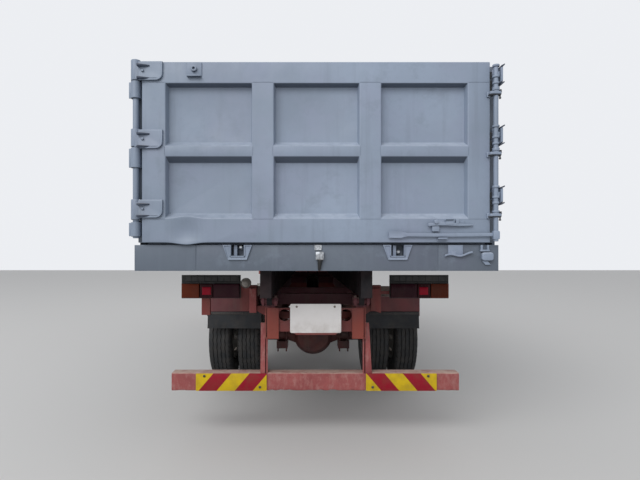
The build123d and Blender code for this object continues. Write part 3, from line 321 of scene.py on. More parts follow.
def pushed(piece, shift, extrude=False, **test):
    """Move or extrude the faces or edges that pass a test, or else what is selected."""
    if test:
        pick(piece, **test)
    else:
        take_up(piece, "EDIT")
    if extrude:
        bpy.ops.mesh.extrude_region_move(TRANSFORM_OT_translate={"value": shift})
    else:
        bpy.ops.transform.translate(value=shift)
    bpy.ops.object.mode_set(mode="OBJECT")
    return piece


def rounded(piece, radius, test, segments=5):
    """Round the edges whose two ends pass a test."""
    pick(piece, edges=test)
    bpy.ops.mesh.bevel(offset=radius, segments=segments)
    bpy.ops.object.mode_set(mode="OBJECT")
    return piece


def copied(piece, name, matrix):
    """A copy of a piece with its own mesh, moved by a matrix; a mirrored copy keeps its faces outward."""
    twin = bpy.data.objects.new(name, piece.data.copy())
    bpy.context.scene.collection.objects.link(twin)
    twin.data.transform(matrix)
    if matrix.determinant() < 0:
        twin.data.flip_normals()
    return twin


def joined(name, pieces):
    """Several meshes as one piece."""
    deselect()
    for piece in pieces:
        piece.select_set(True)
    bpy.context.view_layer.objects.active = pieces[0]
    if len(pieces) > 1:
        bpy.ops.object.join()
    pieces[0].name = name
    return pieces[0]


def both_sides(pieces):
    """Pieces and their mirror images across the lorry's centre plane."""
    return pieces + [copied(piece, "twin", ACROSS) for piece in pieces]


def settle(name, pieces, finish, body, slot, *replaced, angle=35):
    """Join finished pieces, give them a material and smooth shading, and fix them to a body of the lorry."""
    piece = take_up(joined(name, pieces))
    piece.data.materials.clear()
    piece.data.materials.append(finish)
    bpy.ops.object.shade_smooth_by_angle(angle=math.radians(angle))
    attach(piece, body)
    if replaced:
        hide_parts(*replaced)


def tyre_outline():
    """The section from bead to bead over the tread and back through the lining, closed."""
    ribs = [(groove + across, radius) for groove in (0.023, 0.069)
            for across, radius in ((-0.005, 0.522), (-0.0035, 0.509), (0.0035, 0.509), (0.005, 0.522))]
    wall = [(0.098, 0.5215), (0.106, 0.519), (0.116, 0.508), (0.121, 0.498), (0.1235, 0.494), (0.1262, 0.480),
            (0.1330, 0.456), (0.1372, 0.430), (0.1388, 0.410), (0.1388, 0.404), (0.1372, 0.402),
            (0.1366, 0.388),
            (0.1330, 0.366), (0.1322, 0.362), (0.1268, 0.342), (0.1210, 0.328), (0.1215, 0.322),
            (0.1080, 0.306),
            (0.1040, 0.300), (0.1040, 0.288)]
    lining = [(0.088, 0.288), (0.096, 0.312), (0.122, 0.404), (0.108, 0.486), (0.090, 0.500)]
    left_half, left_lining = [[(-x, radius) for x, radius in reversed(part)]
                              for part in (ribs + wall, lining)]
    outline = left_half + ribs + wall + lining + left_lining
    return outline + outline[:1]


def step_of(point, centre):
    """Which of the tyre's half steps a point lies on, counted round the wheel."""
    angle = math.atan2(point.y - centre[1], point.z - centre[2])
    return round(angle / math.tau * TYRE_STEPS * 2)


def from_hub(point):
    """How far a point lies from the front wheel's axis."""
    return math.hypot(point.y - hub[1], point.z - hub[2])


hub = WHEELS["front_wheel"]
model_tyre = turned("front_tyre_rubber_right", tyre_outline(), hub, TYRE_STEPS, (1, 0, 0))
inset(model_tyre, lambda middle, normal: abs(middle.x - hub[0]) > 0.106 and step_of(middle, hub) % 6 == 1
      and from_hub(middle) > 0.501, (0.003, -0.007), use_individual=True)
for vertex in model_tyre.data.vertices:
    if from_hub(vertex.co) > 0.505 and abs(vertex.co.x - hub[0]) < 0.076:
        vertex.co.x += ZIGZAG if step_of(vertex.co, hub) % 8 in (0, 2) else -ZIGZAG

on = Finish("cured_black_rubber")
shade = on.mixed(on.patches(30, 0.35, 0.65), "1b1d20", "26292c")
rubber = on.done(Base_Color=on.mixed(on.product(on.patches(90, 0.35, 0.7, detail=6), 0.55), shade, "47423d"),
                 Roughness=on.patches(60, 0.3, 0.7, 0.66, 0.85), Normal=on.bump(on.cloud(5, 3), 0.4, 0.0008))

# Rims: pressed steel discs in aluminium paint, dulled by brake dust, on cast hubs with ten wheel nuts.
# The nuts sit in a ring on each disc, with the ends of their studs showing.
rim_paint = worn_paint("aluminium_paint_on_steel", "9b9b98", "85837f", "5f3a26", 0.45, "5d5348", 0.5, 1.3,
                       0.55, 140)
nut_steel = worn_paint("rusty_zinc_on_steel", "77736c", "6a5f55", "5a3420", 0.6, "54483e", 0.4, 1.4, 0.5, 40)
dress(rim_paint, "front_rim_left", "front_rim_right", "rear_rims_left", "rear_rims_right")


def modify(piece, kind, **settings):
    """Add a modifier with its settings and apply it."""
    take_up(piece)
    modifier = piece.modifiers.new(kind.lower(), kind)
    for name, value in settings.items():
        setattr(modifier, name, value)
    bpy.ops.object.modifier_apply(modifier=modifier.name)
    return piece


def bevelled(piece, width, segments=2, angle=30):
    """Round the sharp edges of a piece."""
    return modify(piece, "BEVEL", width=width, segments=segments, limit_method="ANGLE",
                  angle_limit=math.radians(angle))


def rod(name, radius, start, end, sides=32, edge=0, segments=2):
    """A round bar between two points, with its ends rounded where edge gives a width."""
    deselect()
    start, end = Vector(start), Vector(end)
    turn = (end - start).to_track_quat("Z", "Y").to_euler()
    bpy.ops.mesh.primitive_cylinder_add(vertices=sides, radius=radius, depth=(end - start).length,
                                        location=(start + end) / 2, rotation=turn)
    bpy.ops.object.transform_apply(location=True, rotation=True)
    piece = bpy.context.object
    piece.name = name
    return bevelled(piece, edge, segments) if edge else piece


def slab(name, low, high, edge=0, segments=2):
    """A box between two opposite corners, with its edges rounded where edge gives a width."""
    deselect()
    low, high = (Vector(map(choose, low, high)) for choose in (min, max))
    bpy.ops.mesh.primitive_cube_add(size=1, location=(low + high) / 2, scale=high - low)
    bpy.ops.object.transform_apply(location=True, scale=True)
    piece = bpy.context.object
    piece.name = name
    return bevelled(piece, edge, segments) if edge else piece


def cut(piece, point, normal, part=lambda middle, normal: True):
    """Cut a piece with a plane, right through or only the faces that pass a test."""
    pick(piece, faces=part)
    bpy.ops.mesh.bisect(plane_co=point, plane_no=normal)
    bpy.ops.object.mode_set(mode="OBJECT")


def cut_along(piece, axis, places, *part):
    """Cut a piece at several places along one axis."""
    for value in places:
        point, normal = Vector(), Vector()
        point[axis], normal[axis] = value, 1
        cut(piece, point, normal, *part)
    return piece


def hexagon(name, across, height, centre, along=(0, -1, 0), stud=0):
    """A bolt head on a washer, or a nut with the domed end of its bolt where stud gives a radius."""
    centre, along = Vector(centre), Vector(along)
    if stud:
        head = rod(name, across / math.sqrt(3), centre, centre + along * height, 6)
        other = rod("tip", stud, centre + along * height / 2, centre + along * (height + stud * 0.9), 10)
        return bevelled(joined(name, [head, other]), height * 0.09, 1, 40)
    other = rod("washer", across * 0.66, centre, centre + along * height * 0.25, 20)
    head = rod(name, across / math.sqrt(3), centre + along * height * 0.2, centre + along * height, 6)
    return bevelled(joined(name, [head, other]), height * 0.1, 1, 40)


# Nut rings as (wheel, distance of the disc's face from the wheel's middle, radius of the ring)
for wheel, face, ring in (("front_wheel", 0.110, 0.132), ("rear_wheel", 0.020, 0.118)):
    x, y, z = WHEELS[wheel]
    first = hexagon(wheel + "_nut", 0.032, 0.026, (x + face, y, z + ring), (1, 0, 0), 0.011)
    spokes = [Matrix.Translation((0, y, z)) @ Matrix.Rotation(math.tau / 10 * turn, 4, "X")
              @ Matrix.Translation((0, -y, -z)) for turn in range(1, 10)]
    right = joined(wheel + "_nuts_right", [first] + [copied(first, "nut", spoke) for spoke in spokes])
    for side, nuts in (("right", right), ("left", copied(right, wheel + "_nuts_left", ACROSS))):
        settle(f"{wheel}_nuts_{side}", [nuts], nut_steel, f"{wheel}_{side}", "rim_paint")

# Where each copy of the tyre goes: CAD node, body, x of its middle and y of its axle
half_pair = 0.169
rear_x, rear_y = WHEELS["rear_wheel"][:2]
for node, body, x, y in (("front_tyre", "front_wheel", *hub[:2]),
                         ("rear_tyre_outer", "rear_wheel", rear_x + half_pair, rear_y),
                         ("rear_tyre_inner", "rear_wheel", rear_x - half_pair, rear_y)):
    shift = Matrix.Translation((x - hub[0], y - hub[1], 0))
    for side, place in (("right", shift), ("left", ACROSS @ shift)):
        copy = copied(model_tyre, f"{node}_rubber_{side}", place)
        settle(copy.name, [copy], rubber, f"{body}_{side}", "tyre_rubber", f"{node}_{side}")
bpy.data.objects.remove(model_tyre)

# The underrun bar: a box of folded steel across the tail on two stays, in red oxide bleached to pink.
# Its rear face is scuffed by what it has backed into, with nicked edges, and chips down to rust and primer.
# Each stay is a side plate with a folded rear flange that narrows upwards.
on = Finish("bleached_oxide_on_steel_bar")
tone = on.mixed(on.patches(240, 0.35, 0.65), "964e4c", "823e3e")
worn = on.patches(55, 0.48, 0.64, detail=8, roughness=0.75, stretch=(1, 1, 0.5))
tone = on.mixed(on.product(worn, 0.55), tone, "a87a74")
scratched = on.patches(16, 0.6, 0.66, detail=8, roughness=0.8, stretch=(0.3, 1, 1))
tone = on.mixed(on.product(scratched, 0.6), tone, "7b4a42")
rusty = on.patches(30, 0.63, 0.68, detail=8, roughness=0.75)
tone = on.mixed(on.product(rusty, 0.85), tone, "4b2b22")
# What faces up turns pale pink-white: partly dust, partly a painted highlight where the top catches the light.
settled = on.product(on.between(on.upward(), 0.4, 0.9, 0, 0.85), on.patches(60, 0.3, 0.6, 0.4, 1, detail=5))
bar_paint = on.done(Base_Color=on.mixed(settled, tone, "c8b0a2"),
                    Roughness=on.patches(12, 0.3, 0.7, 0.6, 0.85),
                    Normal=on.bump(on.product(rusty, -1), 0.5, 0.0008))

BAR = {"half": 1.160, "rear": -3.790, "front": -3.670, "bottom": 0.420, "top": 0.564}
bar = slab("bar", (-BAR["half"], BAR["rear"], BAR["bottom"]), (BAR["half"], BAR["front"], BAR["top"]))
rounded(bar, 0.012, lambda a, b: abs(a.x - b.x) > 1, 4)
inset(bar, facing(0, 0), (0.006, 0), (0.0002, -0.080))
knocks = random.Random(11)
stations = [-1.13 + 0.0315 * step + knocks.uniform(-0.012, 0.012) for step in range(72)]
cut_along(bar, 0, stations)
nicks = [(x, knocks.choice((0, 0, 0, 0.002, 0.004)), knocks.choice((0, 0, 0, 0.002, 0.005)))
         for x in stations]
for vertex in bar.data.vertices:
    corner = vertex.co.z - (BAR["bottom"] + BAR["top"]) / 2
    if abs(corner) > 0.058 and vertex.co.y < BAR["rear"] + 0.013:
        for x, upper, lower in nicks:
            if abs(vertex.co.x - x) < 0.0005:
                vertex.co.z -= upper if corner > 0 else -lower
                vertex.co.y += upper if corner > 0 else lower
bar_parts = [bar]
# Stays as (side, side plate's inner x, outer edge of the flange at its foot and at its top)
foot_z = BAR["top"] - 0.006
for side, plate_x, foot_x, head_x in ((-1, -0.394, -0.444, -0.440), (1, 0.394, 0.458, 0.434)):
    plate = slab("stay_plate", (plate_x, BAR["rear"], foot_z), (plate_x + side * 0.012, -3.665, 1.060))
    cut_along(plate, 2, [0.860])
    for vertex in plate.data.vertices:
        if vertex.co.y > -3.70 and vertex.co.z < 0.859:
            vertex.co.y -= 0.015
    flange = slab("stay_flange", (plate_x - side * 0.010, BAR["rear"], foot_z),
                  (foot_x, BAR["rear"] + 0.010, 0.970))
    pushed(flange, (head_x - foot_x, 0, 0), edges=lambda a, b: min(a.z, b.z) > 0.96
           and max(abs(a.x), abs(b.x)) > 0.43 and abs(a.x - b.x) < 0.01)
    bar_parts += [bevelled(plate, 0.002, 1), bevelled(flange, 0.004, 3)]
settle("underrun_bar_and_stays", bar_parts, bar_paint, "chassis", "bar_paint", "underrun_bar")

# The frame with its lamp carriers: folded posts outside the rails, each with a flange welded to its rear.
# They were fitted by hand, so the left one is wider than the right one, and only the left has a drop plate.
# Places across the lorry, as (standard x, left x, right x), of which the first two are a carrier's edges
CARRIER = [(0.680, -0.629, 0.552), (0.480, -0.488, 0.462), (0.552, -0.545, 0.548), (0.484, -0.492, 0.466)]
CARRIER_REAR, CARRIER_FRONT, CARRIER_FOOT = -3.673, -3.589, 1.048
DROP_PLATE = {"outer": -0.950, "inner": -0.881, "bottom": 1.014}
ladder = copied(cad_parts["frame"], "frame_with_lamp_carriers", Matrix.Identity(4))
take_up(ladder, "EDIT")
bpy.ops.mesh.select_all(action="SELECT")
bpy.ops.mesh.remove_doubles(threshold=0.00005)
bpy.ops.object.mode_set(mode="OBJECT")
for vertex in ladder.data.vertices:
    if not CARRIER_REAR < vertex.co.y < CARRIER_FRONT:
        continue
    for number, (standard, left, right) in enumerate(CARRIER):
        if abs(abs(vertex.co.x) - standard) < 0.001:
            if number < 2 and abs(vertex.co.z - 1.000) < 0.001:
                vertex.co.z = CARRIER_FOOT
            vertex.co.x = left if vertex.co.x < 0 else right
            break
    if -0.984 < vertex.co.x < -0.929:
        vertex.co.x = DROP_PLATE["outer"] if vertex.co.x < -0.95 else DROP_PLATE["inner"]
        vertex.co.z = max(vertex.co.z, DROP_PLATE["bottom"])
settle("frame_with_lamp_carriers", [ladder], red_oxide, "chassis", "frame_paint", "frame", angle=30)
# Only the left carrier's flange is a separate plate in the paler bar paint: a painted highlight where the light
# falls on that side.
flange = inset(slab("left_carrier_flange_painted_highlight", (-0.547, -3.675, 1.036), (-0.490, -3.671, 1.238)), REARWARD,
               (0.004, 0.0006))
settle("left_carrier_flange_painted_highlight", [bevelled(flange, 0.001, 1)], bar_paint, "chassis", "frame_paint")

# Marker plates: two aluminium sheets with glass-bead reflective film in red and yellow bands that
# slope down and outwards from the middle. Two bolts hold each sheet to the bar, at opposite corners.
BAND, LEAN, FIRST_EDGE, MIDDLE = 0.1455, 0.85, 0.518, 0.0135
PLATE = {"inner": 0.392, "outer": 0.962, "bottom": 0.422, "top": 0.562, "rear": -3.800, "front": -3.796}
on = Finish("bead_reflective_film_red_yellow")
centred = on.node("Mapping", {"Vector": on.place, "Location": (-MIDDLE, 0, 0)}).outputs[0]
where = on.node("SeparateXYZ", {"Vector": centred}).outputs
slant = on.sum("MULTIPLY_ADD", where["Z"], LEAN, on.sum("ABSOLUTE", where["X"]))
pairs = on.sum("DIVIDE", on.sum("SUBTRACT", slant, FIRST_EDGE + LEAN * PLATE["bottom"]), 2 * BAND)
bands = on.mixed(on.between(on.sum("FRACT", pairs), 0.498, 0.502), "8c0f25", "c9aa19")
soil = on.product(on.patches(70, 0.4, 0.7, detail=6), 0.3)
# The beads are 0.1 mm across, but at 3 mm their sparkle shows
beads = on.node("TexVoronoi", {"Vector": on.place, "Scale": 1000 / 3}).outputs["Distance"]
film = on.done(Base_Color=on.mixed(soil, bands, "5f4c33"), Roughness=on.patches(40, 0.3, 0.7, 0.32, 0.5),
               Specular_IOR_Level=0.2, Normal=on.bump(beads, 0.15, 0.0005))

sheet = slab("sheet", (PLATE["inner"], PLATE["rear"], PLATE["bottom"]),
             (PLATE["outer"], PLATE["front"], PLATE["top"]))
rounded(sheet, 0.006, lambda a, b: abs(a.y - b.y) > 0.003, 3)
inset(sheet, REARWARD, (0.003, 0), (0.001, 0.0006))
spacers = [rod("spacer", 0.012, (x, PLATE["front"] - 0.001, 0.492), (x, -3.790, 0.492), 16)
           for x in (0.45, 0.9)]
plate_bolts = [hexagon("plate_bolt", 0.017, 0.009, (x, PLATE["rear"] + 0.001, z))
               for x, z in ((0.446, 0.452), (0.894, 0.541))]
# The right sheet sits 16 mm further out than the left one
for name, parts, finish, slot, *replaced in (
        ("marker_sheets", [sheet] + spacers, film, "marker_sheet", "marker_plates"),
        ("marker_plate_bolts", plate_bolts, oiled_iron, "bar_paint")):
    both = both_sides([joined(name, parts)])
    both[0].data.transform(Matrix.Translation((0.016, 0, 0)))
    settle(name, both, finish, "chassis", slot, *replaced)

# Rear lamps: thermoplastic boxes bolted to the carriers, an orange indicator outside, a small bright
# stop lens in a dark red surround beside it and the wide tail lens inside.
on = Finish("moulded_black_abs")
abs_plastic = on.done(Base_Color=on.mixed(on.patches(120, 0.35, 0.7), "17181a", "2b2927"),
                      Roughness=on.patches(25, 0.3, 0.7, 0.42, 0.6), Normal=on.bump(on.cloud(2), 0.2, 0.0004))
dress(abs_plastic, "rear_lamp_housings")


def lens_plastic(name, colour, deep, painted_glow):
    """Moulded acrylic over a reflector: glossy, deep coloured, dusty, with fine prisms that catch light, and a
    painted glow by emission where painted_glow is above nought.
    """
    on = Finish(name)
    # Prisms are 4 mm squares on the back of the lens
    at = on.node("Mapping", {"Vector": on.place, "Scale": (1000 / 4,) * 3}).outputs[0]
    squares = on.node("TexVoronoi", {"Vector": at, "Scale": 1, "Randomness": 0},
                      distance="CHEBYCHEV").outputs["Distance"]
    tone = on.mixed(on.between(squares, 0.1, 0.5), colour, deep)
    tone = on.mixed(on.product(on.patches(60, 0.35, 0.7, detail=6), 0.12), tone, "5b4b43")
    # A film of road dust takes most of the gloss
    return on.done(Base_Color=tone, Roughness=0.3, IOR=1.49, Specular_IOR_Level=0.12,
                   Emission_Color=linear(colour),
                   Emission_Strength=painted_glow, Normal=on.bump(squares, 0.12, 0.0004))


# Lenses as (name, hex colour, deep colour, outer x, inner x, bottom, top, depth, vertical ribs, painted glow, CAD
# node)
HOUSING_FACE = -3.665
for name, colour, deep, outer, inner, bottom, top, depth, ribs, painted_glow, *replaced in (
        ("indicator_lenses", "762d14", "4e1f0f", 1.110, 0.962, 1.160, 1.278, 0.024, 9, 0.0,
         "rear_lamp_lenses"),
        ("stop_surrounds", "3a0c16", "2a0a12", 0.956, 0.850, 1.160, 1.278, 0.022, 3, 0.0),
        # The stop lenses carry a faint painted glow, though the lamps are not lit.
        ("stop_lenses", "aa0d2a", "7e0c24", 0.938, 0.862, 1.186, 1.252, 0.030, 5, 0.02),
        ("tail_lenses", "3a0d1e", "2a0a16", 0.845, 0.628, 1.160, 1.278, 0.024, 13, 0.0)):
    lens = slab(name, (inner, HOUSING_FACE - depth, bottom), (outer, HOUSING_FACE, top))
    rounded(lens, 0.008, lambda a, b: max(a.y, b.y) < HOUSING_FACE - depth / 2, 3)
    pitch = (outer - inner - 0.02) / ribs
    both = both_sides([cut_along(lens, 0, [inner + 0.01 + rib * pitch for rib in range(ribs + 1)])])
    # Only the right lenses have ribs; the left ones are plain
    inset(both[0], lambda middle, normal: normal.y < -0.9 and inner + 0.01 < middle.x < outer - 0.01,
          (0.0018, 0.0012), use_individual=True)
    settle(name, both, lens_plastic(name, colour, deep, painted_glow), "chassis", "lamp_lens", *replaced)

# The strip that caps each lamp box has a ribbed black lid with a row of small windows for marker lights.
# It is moulded in one piece and snapped over the box.
lids = []
for low, high in ((-1.105, -0.632), (0.632, 1.105)):
    lid = slab("lamp_box_lid", (low, HOUSING_FACE - 0.010, 1.290), (high, HOUSING_FACE + 0.002, 1.345), 0.004)
    cut_along(lid, 0, [low + 0.02 + step * 0.054 for step in range(9)])
    lids.append(inset(lid, lambda middle, normal: normal.y < -0.9 and 1.296 < middle.z < 1.340,
                      (0.004, -0.003), use_individual=True))
settle("lamp_box_lids", lids, abs_plastic, "chassis", "black_plastic")

# Reversing lamp: a round pressed steel shell with a milky domed lens, on the short post at the left.
# The dome is a spun cap that bulges rearwards out of a rolled rim.
REVERSING = (-0.576, -3.690, 1.283)
shell = turned("shell", [(0.0, 0.0), (0.0, 0.034), (-0.003, 0.040), (0.001, 0.0425), (0.006, 0.0415),
                         (0.036, 0.0415),
                         (0.038, 0.0)], REVERSING, 32, (0, 1, 0))
chrome = worn_paint("chrome_dulled_on_steel", "8d8a86", "6f6a66", "5a3a2a", 0.4, "5b5048", 0.4, 1.6, 0.4, 40)
settle("reversing_lamp_rim", [shell], chrome, "chassis", "black_plastic")
dome = turned("dome", [(-0.013, 0.0), (-0.0115, 0.014), (-0.0065, 0.026), (0.0, 0.033), (0.002, 0.0)],
              REVERSING, 32,
              (0, 1, 0))
on = Finish("ribbed_clear_lamp_glass")
rings = on.node("TexWave", {"Vector": on.place, "Scale": 60.0}, bands_direction="X").outputs["Fac"]
milky = on.done(Base_Color=on.mixed(on.patches(30, 0.3, 0.7), "7d7670", "97908a"), Roughness=0.2,
                Normal=on.bump(rings, 0.25, 0.0006))
settle("reversing_lamp_dome", [dome], milky, "chassis", "lamp_glass")

# Number plate: pressed aluminium with a rolled rim, enamelled white and left blank, on two screws.
# Road film greys its lower edge and its corners.
on = Finish("white_enamelled_aluminium")
soil = on.product(on.between(on.axis("Z"), 0.92, 1.02, 0.5, 0.08), on.patches(60, 0.3, 0.7, detail=6))
dress(on.done(Base_Color=on.mixed(soil, "d6d3d2", "8d8176"), Roughness=0.35), "number_plate")
screws = [hexagon("plate_screw", 0.012, 0.006, (x, -3.991, 1.120)) for x in (-0.145, 0.145)]
settle("number_plate_screws", screws, nut_steel, "chassis", "plate_white")

# Rear wings: rolled sheet steel arches over the twin tyres, in the frame's red oxide under road dust,
# on steel arms. Their flat skirts carry the mudflaps.
dress(worn_paint("dusty_red_oxide_on_wing", "743b3e", "5e3035", "33201b", 0.3, "655650", 0.5, 1.3, 0.7),
      "rear_fenders")

# Mudflaps: short sheets of black rubber 10 mm thick, hung from the skirts under a clamping strip.
# They curl a little at their lower corners, and their faces are plain.
FLAP = {"inner": 0.590, "outer": 1.200, "bottom": 0.690, "top": 0.880, "rear": -2.274, "front": -2.264}
on = Finish("moulded_flap_rubber")
mud = on.product(on.between(on.axis("Z"), 0.7, 0.88, 0.4, 0.15), on.patches(80, 0.4, 0.7, detail=6))
tone = on.mixed(on.patches(150, 0.35, 0.65), "1c1f23", "272a2e")
flap_rubber = on.done(Base_Color=on.mixed(mud, tone, "4a443e"), Roughness=0.72,
                      Normal=on.bump(on.cloud(6), 0.3, 0.0006))

# Above the hang line the strip clamps the sheet; below it the rubber hangs free
HANG_LINE, MIDDLE_X = 0.845, 0.895
flap = slab("flap", (FLAP["inner"], FLAP["rear"], FLAP["bottom"]),
            (FLAP["outer"], FLAP["front"], FLAP["top"]))
cut_along(flap, 0, [FLAP["inner"] + 0.061 * step for step in range(1, 10)])
cut_along(flap, 2, [0.70, 0.72, 0.75, 0.78, 0.81, HANG_LINE])
for vertex in flap.data.vertices:
    hang = max(0, (HANG_LINE - vertex.co.z) / (HANG_LINE - FLAP["bottom"]))
    corner = (vertex.co.x - MIDDLE_X) / (FLAP["outer"] - MIDDLE_X)
    vertex.co.y += hang ** 2 * (0.006 * math.sin(vertex.co.x * 14) - 0.009 * corner ** 2)
settle("mudflap_sheets", both_sides([bevelled(flap, 0.0015, 1)]), flap_rubber, "chassis", "flap_rubber",
       "mudflaps")
clamp = [slab("clamp", (0.640, FLAP["rear"] - 0.006, 0.846), (FLAP["outer"], FLAP["rear"], 0.870), 0.002),
         slab("packing", (0.660, FLAP["front"], 0.850), (1.180, -2.262, 0.876), 0.0005)]
clamp += [hexagon("flap_bolt", 0.013, 0.007, (x, FLAP["rear"] - 0.005, 0.858))
          for x in (0.68, 0.80, 0.92, 1.04, 1.16)]
settle("mudflap_clamps", both_sides([joined("clamps", clamp)]), oiled_iron, "chassis", "flap_rubber")

# The load bed: walls of pressed steel sheet with two rows of recesses, welded to posts and a folded
# sill, on a floor of plain plate over cross members. Outside it has one coat of satin blue-grey.
# The coat is mottled where it was rolled on over primer, with runs below the edges, a painted highlight on ledges
# and painted shade on faces that look down.


def satin_coat(name, base, pale, cool, roughness):
    """Rolled-on satin enamel: cloudy, with faint runs, a painted highlight on ledges, rust specks and painted
    shade under edges.
    """
    on = Finish(name)
    tone = on.mixed(on.patches(900, 0.36, 0.64), base, pale)
    tone = on.mixed(on.patches(300, 0.45, 0.68, 0, 0.6, detail=5), tone, cool)
    tone = on.mixed(on.patches(45, 0.5, 0.7, 0, 0.4, detail=7, roughness=0.7), tone, base)
    blotch = on.product(on.patches(130, 0.52, 0.66, 0, 0.45, detail=5, roughness=0.65),
                        on.patches(600, 0.42, 0.58, detail=2))
    tone = on.mixed(blotch, tone, "75818f")
    tone = on.mixed(on.patches(70, 0.54, 0.72, 0, 0.3, roughness=0.6, stretch=(1, 1, 0.05)), tone, "6e7885")
    upward = on.upward()
    # Ledges that face up are painted pale blue: a painted highlight where the sky lights them.
    ledge_highlight = on.product(on.between(upward, 0.15, 0.6, 0, 0.8), on.patches(60, 0.3, 0.6, 0.5, 1))
    tone = on.mixed(ledge_highlight, tone, "aab4c3")
    # The gate is darker towards its hinges
    hinge_side = on.product(on.between(on.axis("X"), -0.3, -1.1, 0, 0.3),
                            on.between(on.axis("Y"), -4.22, -4.30))
    tone = on.mixed(hinge_side, tone, "5a6674")
    # Faces that look down are painted dark blue-grey: painted shade under the rails and in the tops of the
    # recesses
    tone = on.mixed(on.between(upward, -0.3, -0.75, 0, 0.8), tone, "2f3846")
    rusty = on.product(on.patches(9, 0.71, 0.74, 0, 0.8, detail=6, roughness=0.8),
                       on.patches(400, 0.52, 0.66))
    # Orange peel is about 2 mm across, but at 6 mm it shows; the sheet itself waves a little
    peel = on.bump(on.cloud(6, 2), 0.12, 0.0008)
    return on.done(Base_Color=on.mixed(rusty, tone, "6a4a3c"),
                   Roughness=on.patches(120, 0.3, 0.7, roughness - 0.07, roughness + 0.08, detail=5),
                   Normal=on.bump(on.cloud(350, 2), 0.25, 0.012, Normal=peel))


coat = satin_coat("satin_blue_grey_enamel", "7e8a9b", "8a97aa", "868ea3", 0.5)
sill_coat = satin_coat("satin_grey_enamel_on_sill", "545d69", "606975", "5d6272", 0.52)
dress(coat, "bed_side_left", "bed_side_right", "bed_front")
dress(sill_coat, "bed_rear_frame")

# Floor plate and members: hot-rolled plate scoured by loads above, and below, dark oxide paint deepened to near
# black, partly as painted shade for the underside of the bed.
# Which of the two shows depends on the height.
on = Finish("scoured_plate_over_dark_oxide_and_painted_shade")
scoured = on.mixed(on.patches(90, 0.4, 0.62, detail=7, roughness=0.7, stretch=(1, 0.15, 1)), "6f6a66",
                   "6b4a38")
scoured = on.mixed(on.patches(500, 0.45, 0.62, 0, 0.7), scoured, "7d746a")
underside_oxide_and_shade = on.mixed(on.patches(200, 0.35, 0.65, detail=5), "261b1d", "1b1a1d")
plate_steel = on.done(Base_Color=on.mixed(on.between(on.axis("Z"), 1.594, 1.598), underside_oxide_and_shade, scoured),
                      Roughness=on.patches(50, 0.3, 0.7, 0.5, 0.8), Specular_IOR_Level=0.2,
                      Normal=on.bump(on.cloud(12, 6, 0.7), 0.4, 0.001))
dress(plate_steel, "bed_floor")

# The tailgate: a folded panel 70 mm deep with six recesses. The posts and the top rail between them have
# steep sides; the middle and bottom rails slope, so light lies on their ledges and shade under them.
# A knock has crushed the bottom rail near its left end, so its edges bulge apart there.
FACE = -4.390
COLUMNS = [(-1.025, -0.438), (-0.291, 0.291), (0.438, 1.025)]
ROWS = [(1.762, 2.183), (2.253, 2.678)]
STEEP, SLOPING, DEEP = 0.008, 0.034, 0.060
DENT_X, DENT_WIDTH, DENT_Z, DENT_REACH = -0.885, 0.078, 1.668, 0.088


def in_recess(middle):
    """Whether a point lies within one of the panel's recesses."""
    return any(left < middle.x < right for left, right in COLUMNS) and any(
        low < middle.z < high for low, high in ROWS)


panel = slab("panel", (-1.184, FACE, 1.597), (1.176, -4.320, 2.823))
cut_along(panel, 0, [x for column in COLUMNS for x in column])
cut_along(panel, 2, [z for row in ROWS for z in row])
inset(panel, lambda middle, normal: normal.y < -0.9 and in_recess(middle), (STEEP, -DEEP),
      use_individual=True)
for vertex in panel.data.vertices:
    if abs(vertex.co.y - FACE - DEEP) < 0.001:
        low, high = ROWS[0] if vertex.co.z < ROWS[0][1] else ROWS[1]
        if vertex.co.z < (low + high) / 2:
            vertex.co.z += SLOPING - STEEP
        elif high == ROWS[0][1]:
            vertex.co.z -= SLOPING - STEEP
cut_along(panel, 0, [-1.095 + 0.03 * step for step in range(15)],
          lambda middle, normal: middle.z < 1.80 and middle.x < -0.4)
cut_along(panel, 2, (1.62, 1.655, 1.69, 1.725), lambda middle, normal: middle.z < 1.77
          and -1.09 < middle.x < -0.68)
bevelled(panel, 0.006, 3)
for vertex in panel.data.vertices:
    if vertex.co.z < 1.62 or vertex.co.z < 1.78 and vertex.co.y < FACE + 0.012:
        knock = math.exp(-((vertex.co.x - DENT_X) / DENT_WIDTH) ** 2)
        away = (vertex.co.z - DENT_Z) / DENT_REACH
        vertex.co.z += knock * 0.017 * max(-1, min(1, away))
        vertex.co.y += knock * 0.031 * max(0, 1 - abs(away)) - knock * 0.006 * min(1, abs(away))
# Fine seams show where the posts butt against the top and bottom rails and the middle rails against them
SEAM, SEAM_DEEP, FROM_RECESS = 0.0035, 0.0025, 0.004
SEAMS_Z = [z + side * (FROM_RECESS + SEAM / 2) for z, side in ((ROWS[0][0], -1), (ROWS[1][1], 1))]
SEAMS_X = [x + side * (FROM_RECESS + SEAM / 2) for column in COLUMNS for x, side in zip(column, (-1, 1))]
for axis, seams in ((2, SEAMS_Z), (0, SEAMS_X)):
    cut_along(panel, axis, [seam + half for seam in seams for half in (-SEAM / 2, SEAM / 2)])


def on_seam(middle):
    """Whether a face of the panel lies along one of its seams."""
    lying = any(abs(middle.z - z) < SEAM / 2 for z in SEAMS_Z) and not any(
        left < middle.x < right for left, right in COLUMNS)
    upright = ROWS[0][1] < middle.z < ROWS[1][0] and any(abs(middle.x - x) < SEAM / 2 for x in SEAMS_X)
    return lying or upright


pushed(panel, (0, SEAM_DEEP, 0), extrude=True, faces=lambda middle, normal: normal.y < -0.99
       and middle.y < FACE + 0.001 and on_seam(middle))
settle("tailgate_panel", [panel], coat, "gate", "body_paint", "gate_panel")

